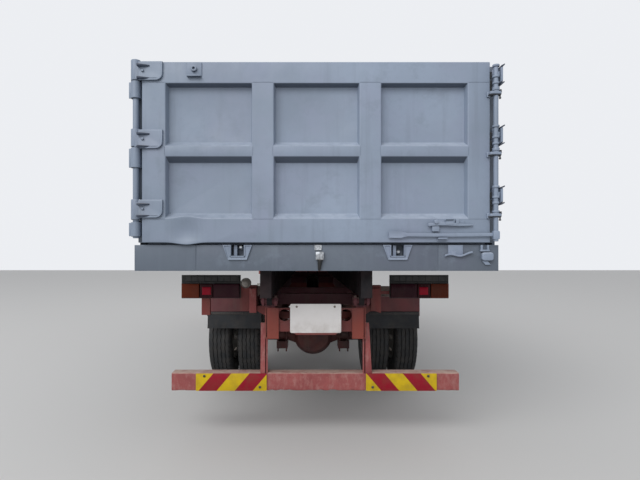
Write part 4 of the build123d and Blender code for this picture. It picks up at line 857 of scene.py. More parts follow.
# Hinge pipe and leaves: a steel tube runs the whole height outside the left post. Three pressed leaves
# are welded to the gate and to thick knuckles on the tube, each with two gusset ears that taper away from
# the knuckle, painted near-black blue as painted shade, and a turned-up lip round its outer edge.
PIPE = (-1.238, -4.350)
KNUCKLES = [(1.755, 1.893), (2.254, 2.374), (2.706, 2.846)]
LEAVES = [(1.765, 1.887), (2.233, 2.362), (2.694, 2.823)]
LEAF_LEFT, LEAF_RIGHT, LEAF_FACE, LEAF_LIP = PIPE[0] + 0.033, -1.041, FACE - 0.010, 0.007


def upright(name, radius, axis, low, high, sides=32, *rounding):
    """A round bar on end between two heights, with its axis at (x, y)."""
    return rod(name, radius, (*axis, low), (*axis, high), sides, *rounding)


def hinge_leaf(low, high, knuckle):
    """One leaf with its lip, its knuckle and the bolt between its ears, at its place on the gate."""
    leaf = slab("leaf", (LEAF_LEFT, LEAF_FACE, low), (LEAF_RIGHT, FACE + 0.002, high))
    rounded(leaf, 0.045, lambda a, b: min(a.x, b.x) > LEAF_RIGHT - 0.001 and max(a.z, b.z) < low + 0.001
            and abs(a.y - b.y) > 0.005)
    inset(leaf, REARWARD, (0.012, 0))
    # The lip: a narrow strip along the outer and lower edge
    pushed(leaf, (0, -LEAF_LIP, 0), extrude=True, faces=lambda middle, normal: normal.y < -0.9
           and middle.x > LEAF_LEFT + 0.02 and (middle.z < low + 0.014 or middle.z < high - 0.008
                                                and middle.x > LEAF_RIGHT - 0.05))
    return joined("hinge_leaf", [
        bevelled(leaf, 0.003, 2, 40), upright("knuckle", 0.033, PIPE, *knuckle, 40, 0.003),
        slab("cheek", (PIPE[0], PIPE[1] - 0.0325, low + 0.016), (LEAF_LEFT + 0.006, PIPE[1], high - 0.016),
             0.001, 1),
        hexagon("leaf_bolt", 0.016, 0.012, (LEAF_LEFT + 0.030, LEAF_FACE + 0.001, (low + high) / 2))])


def gusset_ear(z):
    """A tapering gusset that stands on the leaf from the tube towards the gate's middle."""
    ear = slab("ear", (PIPE[0] + 0.029, FACE - 0.044, z), (-1.128, LEAF_FACE + 0.002, z + 0.014))
    pushed(ear, (0, 0.030, 0), edges=lambda a, b: min(a.x, b.x) > -1.13 and max(a.y, b.y) < FACE - 0.03)
    pushed(ear, (0, 0, 0.004), edges=lambda a, b: min(a.x, b.x) > -1.13 and max(a.z, b.z) < z + 0.001)
    rounded(ear, 0.012, lambda a, b: max(a.x, b.x) < -1.2 and max(a.y, b.y) < FACE - 0.03, 3)
    return bevelled(ear, 0.002, 1)


pipe = inset(upright("pipe", 0.021, PIPE, 1.629, 2.850, 40), facing(2, 0), (0.004, 0), (0.001, -0.012))
hinge_parts = [bevelled(pipe, 0.0025)]
hinge_parts += [hinge_leaf(low, high, knuckle) for (low, high), knuckle in zip(LEAVES, KNUCKLES)]
settle("hinge_pipe_and_leaves", hinge_parts, coat, "gate", "body_paint", "gate_fittings")
# The ears are near-black blue: painted shade under and along them.
painted_shade_for_ears = worn_paint("dark_blue_painted_shade_on_ears", "2b3648", "353f50", "3a2a26", 0.4, "6a727e", 0.1, 1.6,
                         0.62, 60)
ears = [gusset_ear(z) for low, high in LEAVES for z in (low + 0.004, high - 0.040)]
settle("hinge_gusset_ears", ears, painted_shade_for_ears, "gate", "body_paint")

# Weld beads run down both sides of the hinge leaves and along the foot of each ear: a ridge of small
# overlapping ripples, laid by hand and painted over.
RIPPLE, SWELL = 1.3, 0.22


def weld_bead(start, end, width):
    """A run of overlapping flattened ripples between two points."""
    start, end = Vector(start), Vector(end)
    bead = rod("bead", width, start, end, 8)
    pitch = width * RIPPLE
    count = max(2, int((end - start).length / pitch))
    along = (end - start).normalized()
    for step in range(1, count):
        cut(bead, start + along * pitch * step, along)
    for vertex in bead.data.vertices:
        run = (vertex.co - start).dot(along)
        centre = start + along * run
        swell = SWELL * math.cos(math.pi * round(run / pitch)) * (0.02 < run / pitch < count - 0.02)
        vertex.co = centre + (vertex.co - centre) * (1 + swell)
    return bead


beads = []
for low, high in LEAVES:
    beads.append(weld_bead((LEAF_LEFT + 0.035, LEAF_FACE, low + 0.017),
                           (LEAF_RIGHT - 0.02, LEAF_FACE, low + 0.017), 0.003))
    beads.append(weld_bead((LEAF_LEFT + 0.02, FACE, high), (LEAF_RIGHT - 0.004, FACE, high), 0.0035))
settle("hinge_weld_beads", beads, coat, "gate", "body_paint")

# Lock rod bearings: three forged clamps on the gate's right edge. Each is a plate welded to the gate and
# bored for the rod, with a cap ring over a dark groove and a bolt outside the rod that hangs below it.
ROD = (1.207, -4.410)
ROD_X, ROD_Y = ROD
bearing_parts, bearing_bolts = [], []
for low, high in ((1.765, 1.805), (2.178, 2.226), (2.585, 2.633)):
    under = low + 0.008
    plate = slab("plate", (1.160, ROD_Y - 0.024, under), (ROD_X + 0.034, FACE, under + 0.018))
    rounded(plate, 0.016, lambda a, b: max(a.y, b.y) < ROD_Y - 0.02 and abs(a.z - b.z) > 0.01)
    bearing_parts += [bevelled(plate, 0.002),
                      slab("foot", (1.150, FACE - 0.014, low - 0.006), (1.172, FACE + 0.001, under + 0.022),
                           0.004),
                      upright("neck", 0.0195, ROD, under + 0.014, under + 0.030, 28),
                      upright("ring", 0.024, ROD, under + 0.026, high + 0.008, 28, 0.003)]
    bolt = (ROD_X + 0.026, ROD_Y - 0.004)
    bearing_bolts += [
        slab("shim", (1.156, ROD_Y - 0.020, under - 0.007), (ROD_X + 0.030, FACE, under + 0.001), 0.002, 1),
        hexagon("nut", 0.017, 0.018, (bolt[0] + 0.002, bolt[1], under + 0.015), (0, 0, 1)),
        upright("shank", 0.005, bolt, low - 0.016, under + 0.004, 12),
        hexagon("tail", 0.013, 0.009, (*bolt, low - 0.012), (0, 0, -1))]
dark_bolts = worn_paint("black_bolts", "22252c", "2b2e34", "3c2a22", 0.4, "4a4a4c", 0.1, 1.6, 0.55, 40)
settle("bearing_bolts", bearing_bolts, dark_bolts, "gate", "body_paint")

# Handle rest, the toggle catch above the handle, and the drilled boss at the top left, all on the gate.
# The catch is a plate with a pivoted lever whose tail tapers to the right.
rest = slab("rest", (0.815, FACE - 0.034, 1.618), (0.878, FACE, 1.626))
pushed(rest, (0, -0.002, 0.006), extrude=True, edges=lambda a, b: max(a.y, b.y) < FACE - 0.03
       and abs(a.x - b.x) > 0.01 and a.z > 1.62)
catch = [rest, slab("rest_foot", (0.815, FACE - 0.008, 1.606), (0.878, FACE, 1.620)),
         slab("catch_plate", (0.800, FACE - 0.006, 1.712), (1.000, FACE + 0.001, 1.746))]
LEVER_END, TAIL_START, TAIL_LENGTH = 0.750, 0.93, 0.125
lever = slab("lever", (LEVER_END, FACE - 0.030, 1.706), (TAIL_START + TAIL_LENGTH, FACE - 0.012, 1.728))
cut_along(lever, 0, (0.775, 0.80, 0.84, 0.88, 0.92, 0.96, 1.00, 1.03))
for vertex in lever.data.vertices:
    tail = max(0, (vertex.co.x - TAIL_START) / TAIL_LENGTH)
    vertex.co.z += 0.006 * math.sin((vertex.co.x - LEVER_END) * 16) + tail * (0.6 * (1.722 - vertex.co.z) + 0.002)
    vertex.co.y += tail * 0.010
catch += [lever, rod("knob", 0.014, (0.802, FACE - 0.042, 1.736), (0.802, FACE, 1.736), 20),
          inset(slab("pivot", (0.865, FACE - 0.034, 1.722), (0.925, FACE - 0.004, 1.752)), REARWARD,
                (0.006, -0.012)),
          slab("catch_hook", (0.936, FACE - 0.030, 1.722), (0.958, FACE - 0.002, 1.756))]
leg = inset(slab("leg", (0.778, FACE - 0.022, 1.672), (0.826, FACE, 1.712)), facing(2, -1), (0.005, 0))
catch.append(pushed(leg, (0, 0, 0.030), extrude=True))
boss = [slab("boss_plate", (-0.879, FACE - 0.008, 2.722), (-0.777, FACE + 0.001, 2.816), 0.003),
        slab("boss_lip", (-0.875, FACE - 0.030, 2.716), (-0.781, FACE + 0.001, 2.724), 0.002),
        turned("boss", [(0.0, 0.021), (-0.014, 0.021), (-0.018, 0.017), (-0.018, 0.010), (-0.004, 0.008),
                        (-0.004, 0.0)], (-0.828, FACE - 0.008, 2.770), 28, (0, 1, 0))]
settle("gate_ironwork", bearing_parts + [bevelled(part, 0.003) for part in catch] + boss, coat, "gate",
       "body_paint")

# The lock rod: 32 mm round bar that turns in the bearings. Opposite each keeper it carries a cam: two
# thin collars with a hook plate between them. Its long handle is flat bar, spread at the free end.
KEEPERS = [(1.860, 1.982), (2.260, 2.389), (2.667, 2.796)]
rod_parts = [upright("bar", 0.016, ROD, 1.605, 2.796, 28, 0.003)]
for low, high in KEEPERS:
    middle = (low + high) / 2
    for z, radius in ((low - 0.004, 0.022), (middle - 0.026, 0.0235), (high - 0.018, 0.0235)):
        rod_parts.append(upright("collar", radius, ROD, z, z + 0.016, 24, 0.004))
    hook = slab("hook", (ROD_X, ROD_Y - 0.010, middle - 0.015),
                (ROD_X + 0.024, ROD_Y + 0.010, middle + 0.015))
    rounded(hook, 0.006, lambda a, b: min(a.x, b.x) > ROD_X + 0.02 and abs(a.z - b.z) > 0.01)
    rod_parts.append(bevelled(hook, 0.002))
socket = slab("socket", (ROD_X - 0.022, ROD_Y - 0.018, 1.618), (ROD_X + 0.021, ROD_Y + 0.016, 1.676))
rounded(socket, 0.010, lambda a, b: abs(a.y - b.y) > 0.02 and min(a.x, b.x) > ROD_X + 0.02)
FREE_END, SPREAD, SPREAD_LENGTH, SPREAD_TAPER, SAG = 0.485, 0.011, 0.125, 0.045, 0.004
grip = slab("grip", (FREE_END, ROD_Y - 0.006, 1.640), (ROD_X - 0.010, ROD_Y + 0.006, 1.663))
cut_along(grip, 0, [FREE_END + offset
                    for offset in (0.02, 0.05, 0.08, 0.10, SPREAD_LENGTH, 0.20, 0.32, 0.44, 0.56, 0.66)])
for vertex in grip.data.vertices:
    from_end = vertex.co.x - FREE_END
    wide = max(0, min(1, (SPREAD_LENGTH - from_end) / SPREAD_TAPER))
    vertex.co.z += (1 if vertex.co.z > 1.65 else -1) * SPREAD * wide
    # Use has sprung the bar down a little in its middle
    vertex.co.z -= SAG * math.sin(math.pi * min(1, from_end / 0.72))
inset(grip, lambda middle, normal: normal.y < -0.9 and middle.x < FREE_END + 0.10, (0.007, -0.003))
rod_parts += [bevelled(socket, 0.003), bevelled(grip, 0.002)]
settle("lock_rod_and_handle", rod_parts, coat, "gate_lock", "body_paint", "lock_rod")

# Behind each cam a near-black strip lies on the edge of the gate: painted shade, the dark slot beside the rod.
# The cam's boss leaves a gap in its middle.
black_iron_and_shade = worn_paint("black_iron_and_shade", "0f1114", "17181a", "33241c", 0.4, "2c2a28", 0.1, 1.6, 0.6, 60)
shade_strips = [slab("strip", (1.1735, FACE - 0.003, start), (1.1865, FACE + 0.001, end), 0.001, 1)
          for low, high in KEEPERS for start,
          end in ((low - 0.044, low + 0.026), (low + 0.040, high - 0.044))]
settle("painted_shade_strips_by_cams", shade_strips, black_iron_and_shade, "gate", "body_paint")

# Rear frame of the load bed: a folded sill with two welded seams and open corner posts with capped tops.
# Its paint is greyer and dirtier than the gate's.
SILL = {"half": 1.245, "rear": -4.360, "front": -4.230, "bottom": 1.405, "top": 1.582}
POST = {"inner": 1.165, "outer": 1.225, "rear": -4.310, "top": 2.823}
SILL_FACE, SILL_TOP = SILL["rear"], SILL["top"]

sill = slab("sill", (-SILL["half"], SILL_FACE, SILL["bottom"]), (SILL["half"], SILL["front"], SILL_TOP))
cut_along(sill, 0, (-0.826, -0.822, -0.587, -0.493, 0.507, 0.601, 0.830, 0.834))
cut_along(sill, 2, [1.507])
pushed(sill, (0, 0.003, 0), extrude=True, faces=lambda middle, normal: normal.y < -0.9
       and 0.82 < abs(middle.x) < 0.836)
pushed(sill, (0, 0.075, 0), extrude=True, faces=lambda middle, normal: normal.y < -0.9
       and 0.49 < abs(middle.x) < 0.60 and middle.z > 1.51)
inset(sill, lambda middle, normal: normal.z < -0.9 and middle.z < 1.41, (0.010, 0), (0.004, -0.060))
frame_parts = [bevelled(sill, 0.006, 3),
               slab("step", (-POST["outer"], POST["rear"], SILL_TOP - 0.002),
                    (POST["outer"], SILL["front"], 1.600), 0.003)]
# The right post has a wider lip, against which the lock rod lies
for inner, outer in ((-POST["inner"], -POST["outer"]), (POST["inner"], POST["outer"] + 0.015)):
    post = slab("post", (inner, POST["rear"], SILL_TOP), (outer, SILL["front"], POST["top"]))
    frame_parts.append(bevelled(inset(post, facing(2, 1), (0.006, 0), (0.001, -0.040)), 0.005))
# Lips on the left post close the gap behind the hinge pipe, clear of where the leaves swing
frame_parts += [slab("lip", (-outer, POST["rear"] + 0.001, low),
                     (-POST["outer"] + 0.010, POST["rear"] + 0.014, high), 0.003)
                for low, high, outer in ((1.600, 1.756, 1.238), (1.902, 2.117, 1.253), (2.384, 2.592, 1.253))]
settle("bed_rear_frame_with_posts", frame_parts, sill_coat, "bed", "body_paint", "bed_rear_frame")

# On the left post stand the sleeves that the hinge pipe turns in, each on a saddle with two weld beads.
# They are in the same paint as the gate.
fitting_parts = []
for low, high in ((1.640, 1.737), (2.110, 2.246), (2.585, 2.700)):
    foot, head = low + 0.003, high - 0.003
    sleeve = inset(upright("sleeve", 0.034, PIPE, low, high, 40), facing(2, 0), (0.0115, 0), (0.0006, -0.010))
    fitting_parts += [
        bevelled(sleeve, 0.0015, 1),
        slab("saddle", (PIPE[0] - 0.024, PIPE[1] + 0.020, foot),
             (PIPE[0] + 0.033, POST["rear"] + 0.002, head), 0.003),
        slab("rib", (PIPE[0] - 0.048, PIPE[1] - 0.004, foot), (PIPE[0] - 0.024, PIPE[1] + 0.006, head),
             0.002)]
    fitting_parts += [weld_bead((-POST["inner"] - 0.004, POST["rear"] - 0.001, z),
                                (PIPE[0] + 0.020, POST["rear"] - 0.001, z), 0.004)
                      for z in (low + 0.004, high - 0.004)]

# Lock keepers on the right post: each is a back plate with an upright outside the rod and an ear at
# both ends that the cam's hook is drawn in between. The ears are flame cut and rise outwards; their near-black
# colour is painted shade.
RISE = 0.012
keeper_ears = []
for low, high in KEEPERS:
    back = slab("back", (ROD_X + 0.008, POST["rear"] - 0.012, low),
                (ROD_X + 0.058, POST["rear"] + 0.001, high), 0.003)
    upstand = slab("upstand", (ROD_X + 0.027, ROD_Y - 0.022, low + 0.004),
                   (ROD_X + 0.040, POST["rear"], high - 0.018))
    rounded(upstand, 0.012, lambda a, b: max(a.y, b.y) < ROD_Y - 0.02 and abs(a.x - b.x) > 0.005)
    fitting_parts += [back, bevelled(upstand, 0.003)]
    for z, reach in ((low - 0.012, 0.048), (high - 0.024, 0.050)):
        ear = slab("ear", (ROD_X + 0.026, ROD_Y - 0.028, z), (ROD_X + reach, POST["rear"], z + 0.009))
        pushed(ear, (0, 0, RISE), edges=lambda a, b: min(a.x, b.x) > ROD_X + 0.04)
        keeper_ears.append(bevelled(ear, 0.002))
settle("keeper_ears", keeper_ears, painted_shade_for_ears, "bed", "body_paint")

# Ironwork on the sill: two trapezoid brackets, each a window with a bolt inside it, a drop latch in the
# middle, a plate with a bent hand lever, and at the right a forked bracket over a round-nosed block.
on = Finish("bright_zinc_on_steel")
bright_zinc = on.done(Base_Color=on.mixed(on.patches(14, 0.4, 0.65, detail=5), "b9bdc2", "83868a"),
                      Metallic=0.6,
                      Roughness=on.patches(9, 0.3, 0.7, 0.35, 0.6))


def on_sill(name, left, right, bottom, top, proud, *rounding, deep=0.001):
    """A block on the sill's rear face that stands proud of it and reaches a little into it."""
    return slab(name, (left, SILL_FACE - proud, bottom), (right, SILL_FACE + deep, top), *rounding)


PLATE_HALF, PLATE_FOOT, HALF_WINDOW, WINDOW_FOOT, TAPER = 0.100, 1.480, 0.047, 1.507, 0.036
iron_parts, zinc_parts = [], []
for middle, bolt_x, bolt_z in ((-0.540, -0.520, 1.568), (0.554, 0.563, 1.535)):
    plate = on_sill("bracket", middle - PLATE_HALF, middle + PLATE_HALF, PLATE_FOOT, SILL_TOP, 0.012)
    cut_along(plate, 0, [middle - HALF_WINDOW, middle + HALF_WINDOW])
    cut_along(plate, 2, [WINDOW_FOOT])
    pick(plate, faces=lambda centre, normal: abs(centre.x - middle) < 0.046 and centre.z > WINDOW_FOOT)
    bpy.ops.mesh.delete(type="FACE")
    # The window's rim and the plate's foot are turned outwards like flanges
    inset(plate, lambda centre, normal: normal.y < -0.9 and centre.y < SILL_FACE - 0.011,
          (0.006, 0), (0.002, -0.006), use_boundary=False)
    for vertex in plate.data.vertices:
        outward = (abs(vertex.co.x - middle) - HALF_WINDOW) / (PLATE_HALF - HALF_WINDOW)
        drop = max(0, outward) * TAPER * (SILL_TOP - vertex.co.z) / (SILL_TOP - PLATE_FOOT)
        vertex.co.x -= math.copysign(drop, vertex.co.x - middle)
    iron_parts.append(bevelled(plate, 0.002))
    iron_parts += [on_sill("flange", middle + left, middle + right, bottom, top, 0.013, deep=0.030)
                   for left, right, bottom, top in ((-0.051, -0.045, 1.503, SILL_TOP),
                                                    (0.045, 0.051, 1.503, SILL_TOP),
                                                    (-0.051, 0.051, 1.501, 1.508))]
    iron_parts.append(on_sill("web", middle - 0.028, middle - 0.006, 1.508, SILL_TOP, -0.020, 0.001, 1,
                              deep=0.060))
    zinc_parts.append(hexagon("bracket_bolt", 0.024, 0.050, (bolt_x, SILL_FACE + 0.060, bolt_z)))
latch = inset(on_sill("latch", -0.014, 0.036, 1.546, SILL_TOP, 0.010, deep=0), REARWARD, (0.004, -0.001))
latch_block = inset(on_sill("latch_block", -0.006, 0.050, 1.480, 1.536, 0.026, deep=0), REARWARD,
                    (0.008, 0.003))
# The latch stub is black iron, darkened further as painted shade under the latch.
stub_foot = (0.018, SILL_FACE - 0.012, 1.408)
stub = rod("stub", 0.018, (0.024, SILL_FACE - 0.018, 1.482), stub_foot, 20)
pick(stub, faces=facing(2, -1))
bpy.ops.transform.resize(value=(0.45, 0.45, 1), center_override=stub_foot)
settle("latch_stub", [bevelled(stub, 0.002)], black_iron_and_shade, "bed", "body_paint")
settle("latch_and_window_bolts", [bevelled(latch, 0.002), bevelled(latch_block, 0.004)] + zinc_parts,
       bright_zinc,
       "bed", "body_paint")
iron_parts.append(on_sill("lever_plate", 0.898, 0.999, 1.511, SILL_TOP, 0.010, 0.003))
HAND_LEFT, HAND_LENGTH = 0.872, 0.188
hand_lever = slab("hand_lever", (HAND_LEFT, SILL_FACE - 0.024, 1.500),
                  (HAND_LEFT + HAND_LENGTH, SILL_FACE - 0.008, 1.513))
cut_along(hand_lever, 0, [HAND_LEFT + HAND_LENGTH / 10 * step for step in range(1, 10)])
for vertex in hand_lever.data.vertices:
    run = (vertex.co.x - HAND_LEFT) / HAND_LENGTH
    vertex.co.z += 0.018 * run + 0.009 * math.sin(run * math.tau * 1.25 + 0.2)
    vertex.co.y += 0.004 * math.sin(run * 5)
iron_parts += [bevelled(hand_lever, 0.003),
               on_sill("lever_web", 0.918, 0.948, 1.510, 1.536, 0.016, 0.003, deep=-0.008),
               on_sill("fork_upright", 1.118, 1.131, 1.546, SILL_TOP, 0.020, 0.002),
               on_sill("fork_upright", 1.161, 1.174, 1.546, SILL_TOP, 0.020, 0.002),
               on_sill("fork_foot", 1.114, 1.178, 1.538, 1.550, 0.022, 0.002)]
nose = rounded(on_sill("nose", 1.123, 1.203, 1.473, 1.532, 0.026), 0.020, lambda a, b: abs(a.y - b.y) > 0.01,
               6)
hanger = pushed(on_sill("hanger", 1.128, 1.166, 1.446, 1.476, 0.014), (0.022, 0, 0), faces=facing(2, -1))
iron_parts += [bevelled(inset(nose, REARWARD, (0.010, 0.004)), 0.004), bevelled(hanger, 0.003)]
settle("sill_ironwork", fitting_parts + iron_parts, coat, "bed", "body_paint")

# Tipping cylinder: a welded steel barrel in black enamel, its gland ring held by eight cap screws, and a
# hard-chromed rod. Oil has drawn dust round the gland.
BASE, EYE = Vector((0, -2.590, 0.858)), Vector((0, -0.990, 1.208))
LINE = (EYE - BASE).normalized()
RIGHT = Vector((1, 0, 0))
UNDER = LINE.cross(RIGHT)
dress(worn_paint("black_enamel_on_barrel", "25272b", "34353a", "4f3427", 0.4, "5a5149", 0.5, 1.3, 0.5, 120),
      "hoist_barrel")
on = Finish("hard_chrome_on_rod")
smear = on.patches(60, 0.45, 0.65, detail=5, roughness=0.6, stretch=(1, 0.2, 1))
dress(on.done(Base_Color=on.mixed(smear, "c4c6c8", "8f8d89"), Metallic=1,
              Roughness=on.between(smear, 0, 1, 0.12, 0.38)),
      "hoist_rod")

GLAND, SCREW_RING = BASE + LINE * 1.498, 0.069
fittings = []
for turn in range(8):
    angle = math.tau * (turn + 0.5) / 8
    foot = GLAND + RIGHT * SCREW_RING * math.cos(angle) + UNDER * SCREW_RING * math.sin(angle)
    fittings.append(rod("gland_screw", 0.007, foot, foot + LINE * 0.010, 12, 0.001, 1))
for along in (0.30, 1.36):
    band = BASE + LINE * along
    fittings.append(rod("barrel_band", 0.082, band, band + LINE * 0.030, 40, 0.003, 1))
port = BASE + LINE * 0.16 - UNDER * 0.074
fittings.append(rod("hose_port", 0.020, port, port - UNDER * 0.034, 6, 0.002, 1))
settle("barrel_fittings", fittings, nut_steel, "hoist_cylinder", "frame_paint")

# Fuel tank on the right rail: welded aluminium sheet with raised end seams and swages, on two steel
# straps with tension bolts and rubber packing. The filler stands at the top with a ribbed screw cap.
on = Finish("dulled_aluminium_sheet")
brushed = on.cloud(14, 6, 0.7, (1, 0.06, 1))
mud = on.product(on.between(on.axis("Z"), 0.45, 0.95, 0.75, 0.1), on.patches(120, 0.4, 0.66, detail=6))
tone = on.mixed(on.between(brushed, 0.3, 0.7), "9fa2a4", "85888b")
aluminium = on.done(Base_Color=on.mixed(mud, tone, "6d6257"), Metallic=on.between(mud, 0, 0.6, 0.85, 0.1),
                    Roughness=on.between(brushed, 0.3, 0.7, 0.34, 0.5))


def rounded_box(name, low, high, radius):
    """A box whose edges along the lorry are rounded."""
    return rounded(slab(name, low, high), radius, lambda a, b: abs(a.y - b.y) > 0.02, 8)


def swaged(piece, places, foot, crest, raised):
    """Press rings round a lying piece, so far to each side of the places along it, by what raised gives."""
    cut_along(piece, 1, [y + offset for y in places for offset in (-foot, -crest, crest, foot)])
    for vertex in piece.data.vertices:
        if min(abs(vertex.co.y - y) for y in places) < crest + 0.0005:
            vertex.co += Vector(raised(vertex.co))
    return piece


SWAGE, FILLER = 0.004, (0.960, 1.480)
tank = rounded_box("tank", (0.470, 0.640, 0.500), (1.060, 1.690, 0.980), 0.09)
inset(tank, ENDS, (0.012, 0), (0.006, -0.012), (0.10, 0.004), (0.012, 0.006))
swaged(tank, (0.99, 1.165, 1.34), 0.010, 0.004,
       lambda at: (math.copysign(SWAGE, at.x - 0.765), 0, math.copysign(SWAGE, at.z - 0.74)))
tank_parts = [bevelled(tank, 0.003), upright("neck", 0.038, FILLER, 0.975, 0.996),
              upright("drain_plug", 0.016, (0.765, 0.80), 0.502, 0.490, 6, 0.002, 1),
              upright("level_sender", 0.032, (0.700, 1.165), 0.980, 0.992, 24, 0.003, 1)]
settle("fuel_tank_shell", tank_parts, aluminium, "chassis", "tank_metal", "fuel_tank")

cap = inset(upright("cap", 0.045, FILLER, 0.990, 1.010, 36), facing(2, 1), (0.008, -0.004))
inset(cap, lambda middle, normal: abs(normal.z) < 0.1 and round(math.atan2(
    middle.y - FILLER[1], middle.x - FILLER[0]) / math.tau * 36 + 0.5) % 2 == 0,
      (0.001, -0.003), use_individual=True)
strap_parts = []
for y in (0.800, 1.480):
    middle = y + 0.025
    strap = rounded_box("strap", (0.464, y, 0.494), (1.066, y + 0.050, 0.986), 0.096)
    pick(strap, faces=ENDS)
    bpy.ops.mesh.inset(thickness=0.0055, depth=0)
    bpy.ops.mesh.delete(type="FACE")
    strap_parts += [bevelled(strap, 0.001, 1),
                    slab("lug", (0.392, y, 0.870), (0.470, y + 0.050, 0.950), 0.004),
                    hexagon("strap_bolt", 0.022, 0.016, (1.064, middle, 0.80), (1, 0, 0)),
                    slab("clip", (1.058, y + 0.005, 0.770), (1.068, y + 0.045, 0.830), 0.002),
                    upright("tie", 0.007, (1.074, middle), 0.70, 0.80, 12, 0.001, 1)]
strap_paint = worn_paint("black_paint_on_straps", "202225", "2e2f31", "5a3626", 0.5, "5d5349", 0.5, 1.1, 0.55,
                         90)
settle("tank_straps_and_cap", strap_parts + [bevelled(cap, 0.002)], strap_paint, "chassis", "tank_metal")

# Battery box on the left rail: folded sheet with pressed ribs under a plastic lid that two rubber
# toggles hold down. The box is black and dusty, the lid has gone chalky.
PANELS, PANEL_LENGTH = (1.95, 2.13, 2.31), 0.12
box = slab("box", (-0.900, 1.900, 0.600), (-0.400, 2.480, 0.900))
cut_along(box, 1, [y + end for y in PANELS for end in (0, PANEL_LENGTH)])
cut_along(box, 2, [0.65, 0.85])
inset(box, lambda middle, normal: normal.x < -0.9 and 0.65 < middle.z < 0.85
      and any(y < middle.y < y + PANEL_LENGTH for y in PANELS), (0.012, -0.010))
lid = inset(slab("lid", (-0.915, 1.890, 0.895), (-0.410, 2.490, 0.925)), facing(2, 1), (0.030, 0),
            (0.008, -0.008))
case_paint = worn_paint("chalky_black_on_box", "1f2124", "3a3a3b", "4f3427", 0.3, "63594f", 0.6, 1.0, 0.66,
                        140)
box_parts = [bevelled(box, 0.005), bevelled(lid, 0.006, 3)]
for y in (2.04, 2.34):
    box_parts += [slab("toggle", (-0.922, y - 0.015, 0.80), (-0.912, y + 0.015, 0.918), 0.003),
                  slab("toggle_hook", (-0.926, y - 0.020, 0.795), (-0.898, y + 0.020, 0.812), 0.003)]
settle("battery_case_and_lid", box_parts, case_paint, "chassis", "black_plastic", "battery_box")

# Air tanks: two drawn steel cylinders with domed ends on the left rail, under two straps each, with a
# drain cock below and a brass union at the end. They carry the same oxide as the frame, and more dust.
DRUM_Z, TANKS_X, BRACE = 0.720, (-0.560, -0.860), 0.040


def lying(name, radius, x, rear, front, sides=48, *rounding):
    """A round bar along the lorry at the height of the air tanks and the silencer."""
    return rod(name, radius, (x, rear, DRUM_Z), (x, front, DRUM_Z), sides, *rounding)


def drum(name, radius, x, rear, front, corner, segments, places, foot, share):
    """A lying cylinder with rounded ends and swages that stand out by a share of its radius."""
    shell = rounded(lying(name, radius, x, rear, front), corner, lambda a, b: abs(a.y - b.y) < 0.001,
                    segments)
    return swaged(shell, places, foot, 0.003, lambda at: ((at.x - x) * share, 0, (at.z - DRUM_Z) * share))


tank_parts, tank_irons = [], []
for x in TANKS_X:
    tank_parts.append(drum("air_tank", 0.130, x, 0.420, 1.660, 0.055, 6, (0.50, 1.58), 0.006, 0.012))
    tank_irons += [upright("drain_cock", 0.010, (x, 1.00), 0.594, 0.568, 6, 0.001, 1),
                   rod("union", 0.014, (x, 0.422, 0.750), (x, 0.398, 0.750), 6, 0.001, 1)]
for y in (0.600, 1.420):
    tank_parts.append(slab("tank_arm", (-1.000, y, 0.862), (-0.400, y + BRACE, 0.892), 0.003))
    for x in TANKS_X:
        tank_irons += [lying("hoop", 0.134, x, y, y + BRACE, 48, 0.002, 1),
                       slab("stand", (x - 0.020, y, 0.845), (x + 0.020, y + BRACE, 0.870), 0.002, 1),
                       hexagon("hoop_bolt", 0.018, 0.012, (x, y + BRACE / 2, 0.892), (0, 0, 1))]
settle("air_tank_shells", tank_parts, axle_oxide, "chassis", "tank_metal", "air_tanks")
settle("air_tank_straps", tank_irons, nut_steel, "chassis", "tank_metal")

# Silencer on the right rail: an aluminised can with rolled seams, hung on two bands, with a pipe in
# from the engine and a side outlet. Heat has tinted it and rust has come through near the seams.
on = Finish("heat_stained_aluminised_steel")
stain = on.patches(130, 0.42, 0.62, detail=6, roughness=0.65)
rust = on.patches(30, 0.55, 0.68, detail=7, roughness=0.7)
burnt = on.done(Base_Color=on.mixed(rust, on.mixed(stain, "77736d", "6b4a36"), "4a2f22"),
                Metallic=on.between(stain, 0, 1, 0.6, 0.15), Roughness=on.between(stain, 0, 1, 0.45, 0.75))
CAN_X = 0.640
can_parts = [drum("can", 0.150, CAN_X, 1.830, 2.480, 0.040, 5, (1.90, 2.41), 0.008, 0.022),
             lying("inlet", 0.040, CAN_X, 2.465, 2.560, 28, 0.001, 1)]
outlet = inset(rod("outlet", 0.038, (0.775, 1.900, DRUM_Z), (1.010, 1.900, DRUM_Z), 28), facing(0, 1),
               (0.003, 0), (0.0005, -0.14))
can_parts.append(bevelled(outlet, 0.001, 1))
for y in (1.960, 2.300):
    can_parts += [lying("band", 0.155, CAN_X, y, y + BRACE, 48, 0.002, 1),
                  slab("silencer_arm", (0.400, y, 0.862), (0.600, y + BRACE, 0.892), 0.003),
                  hexagon("band_bolt", 0.018, 0.012, (0.560, y + BRACE / 2, 0.892), (0, 0, 1))]
settle("silencer_and_pipes", can_parts, burnt, "chassis", "tank_metal", "silencer")

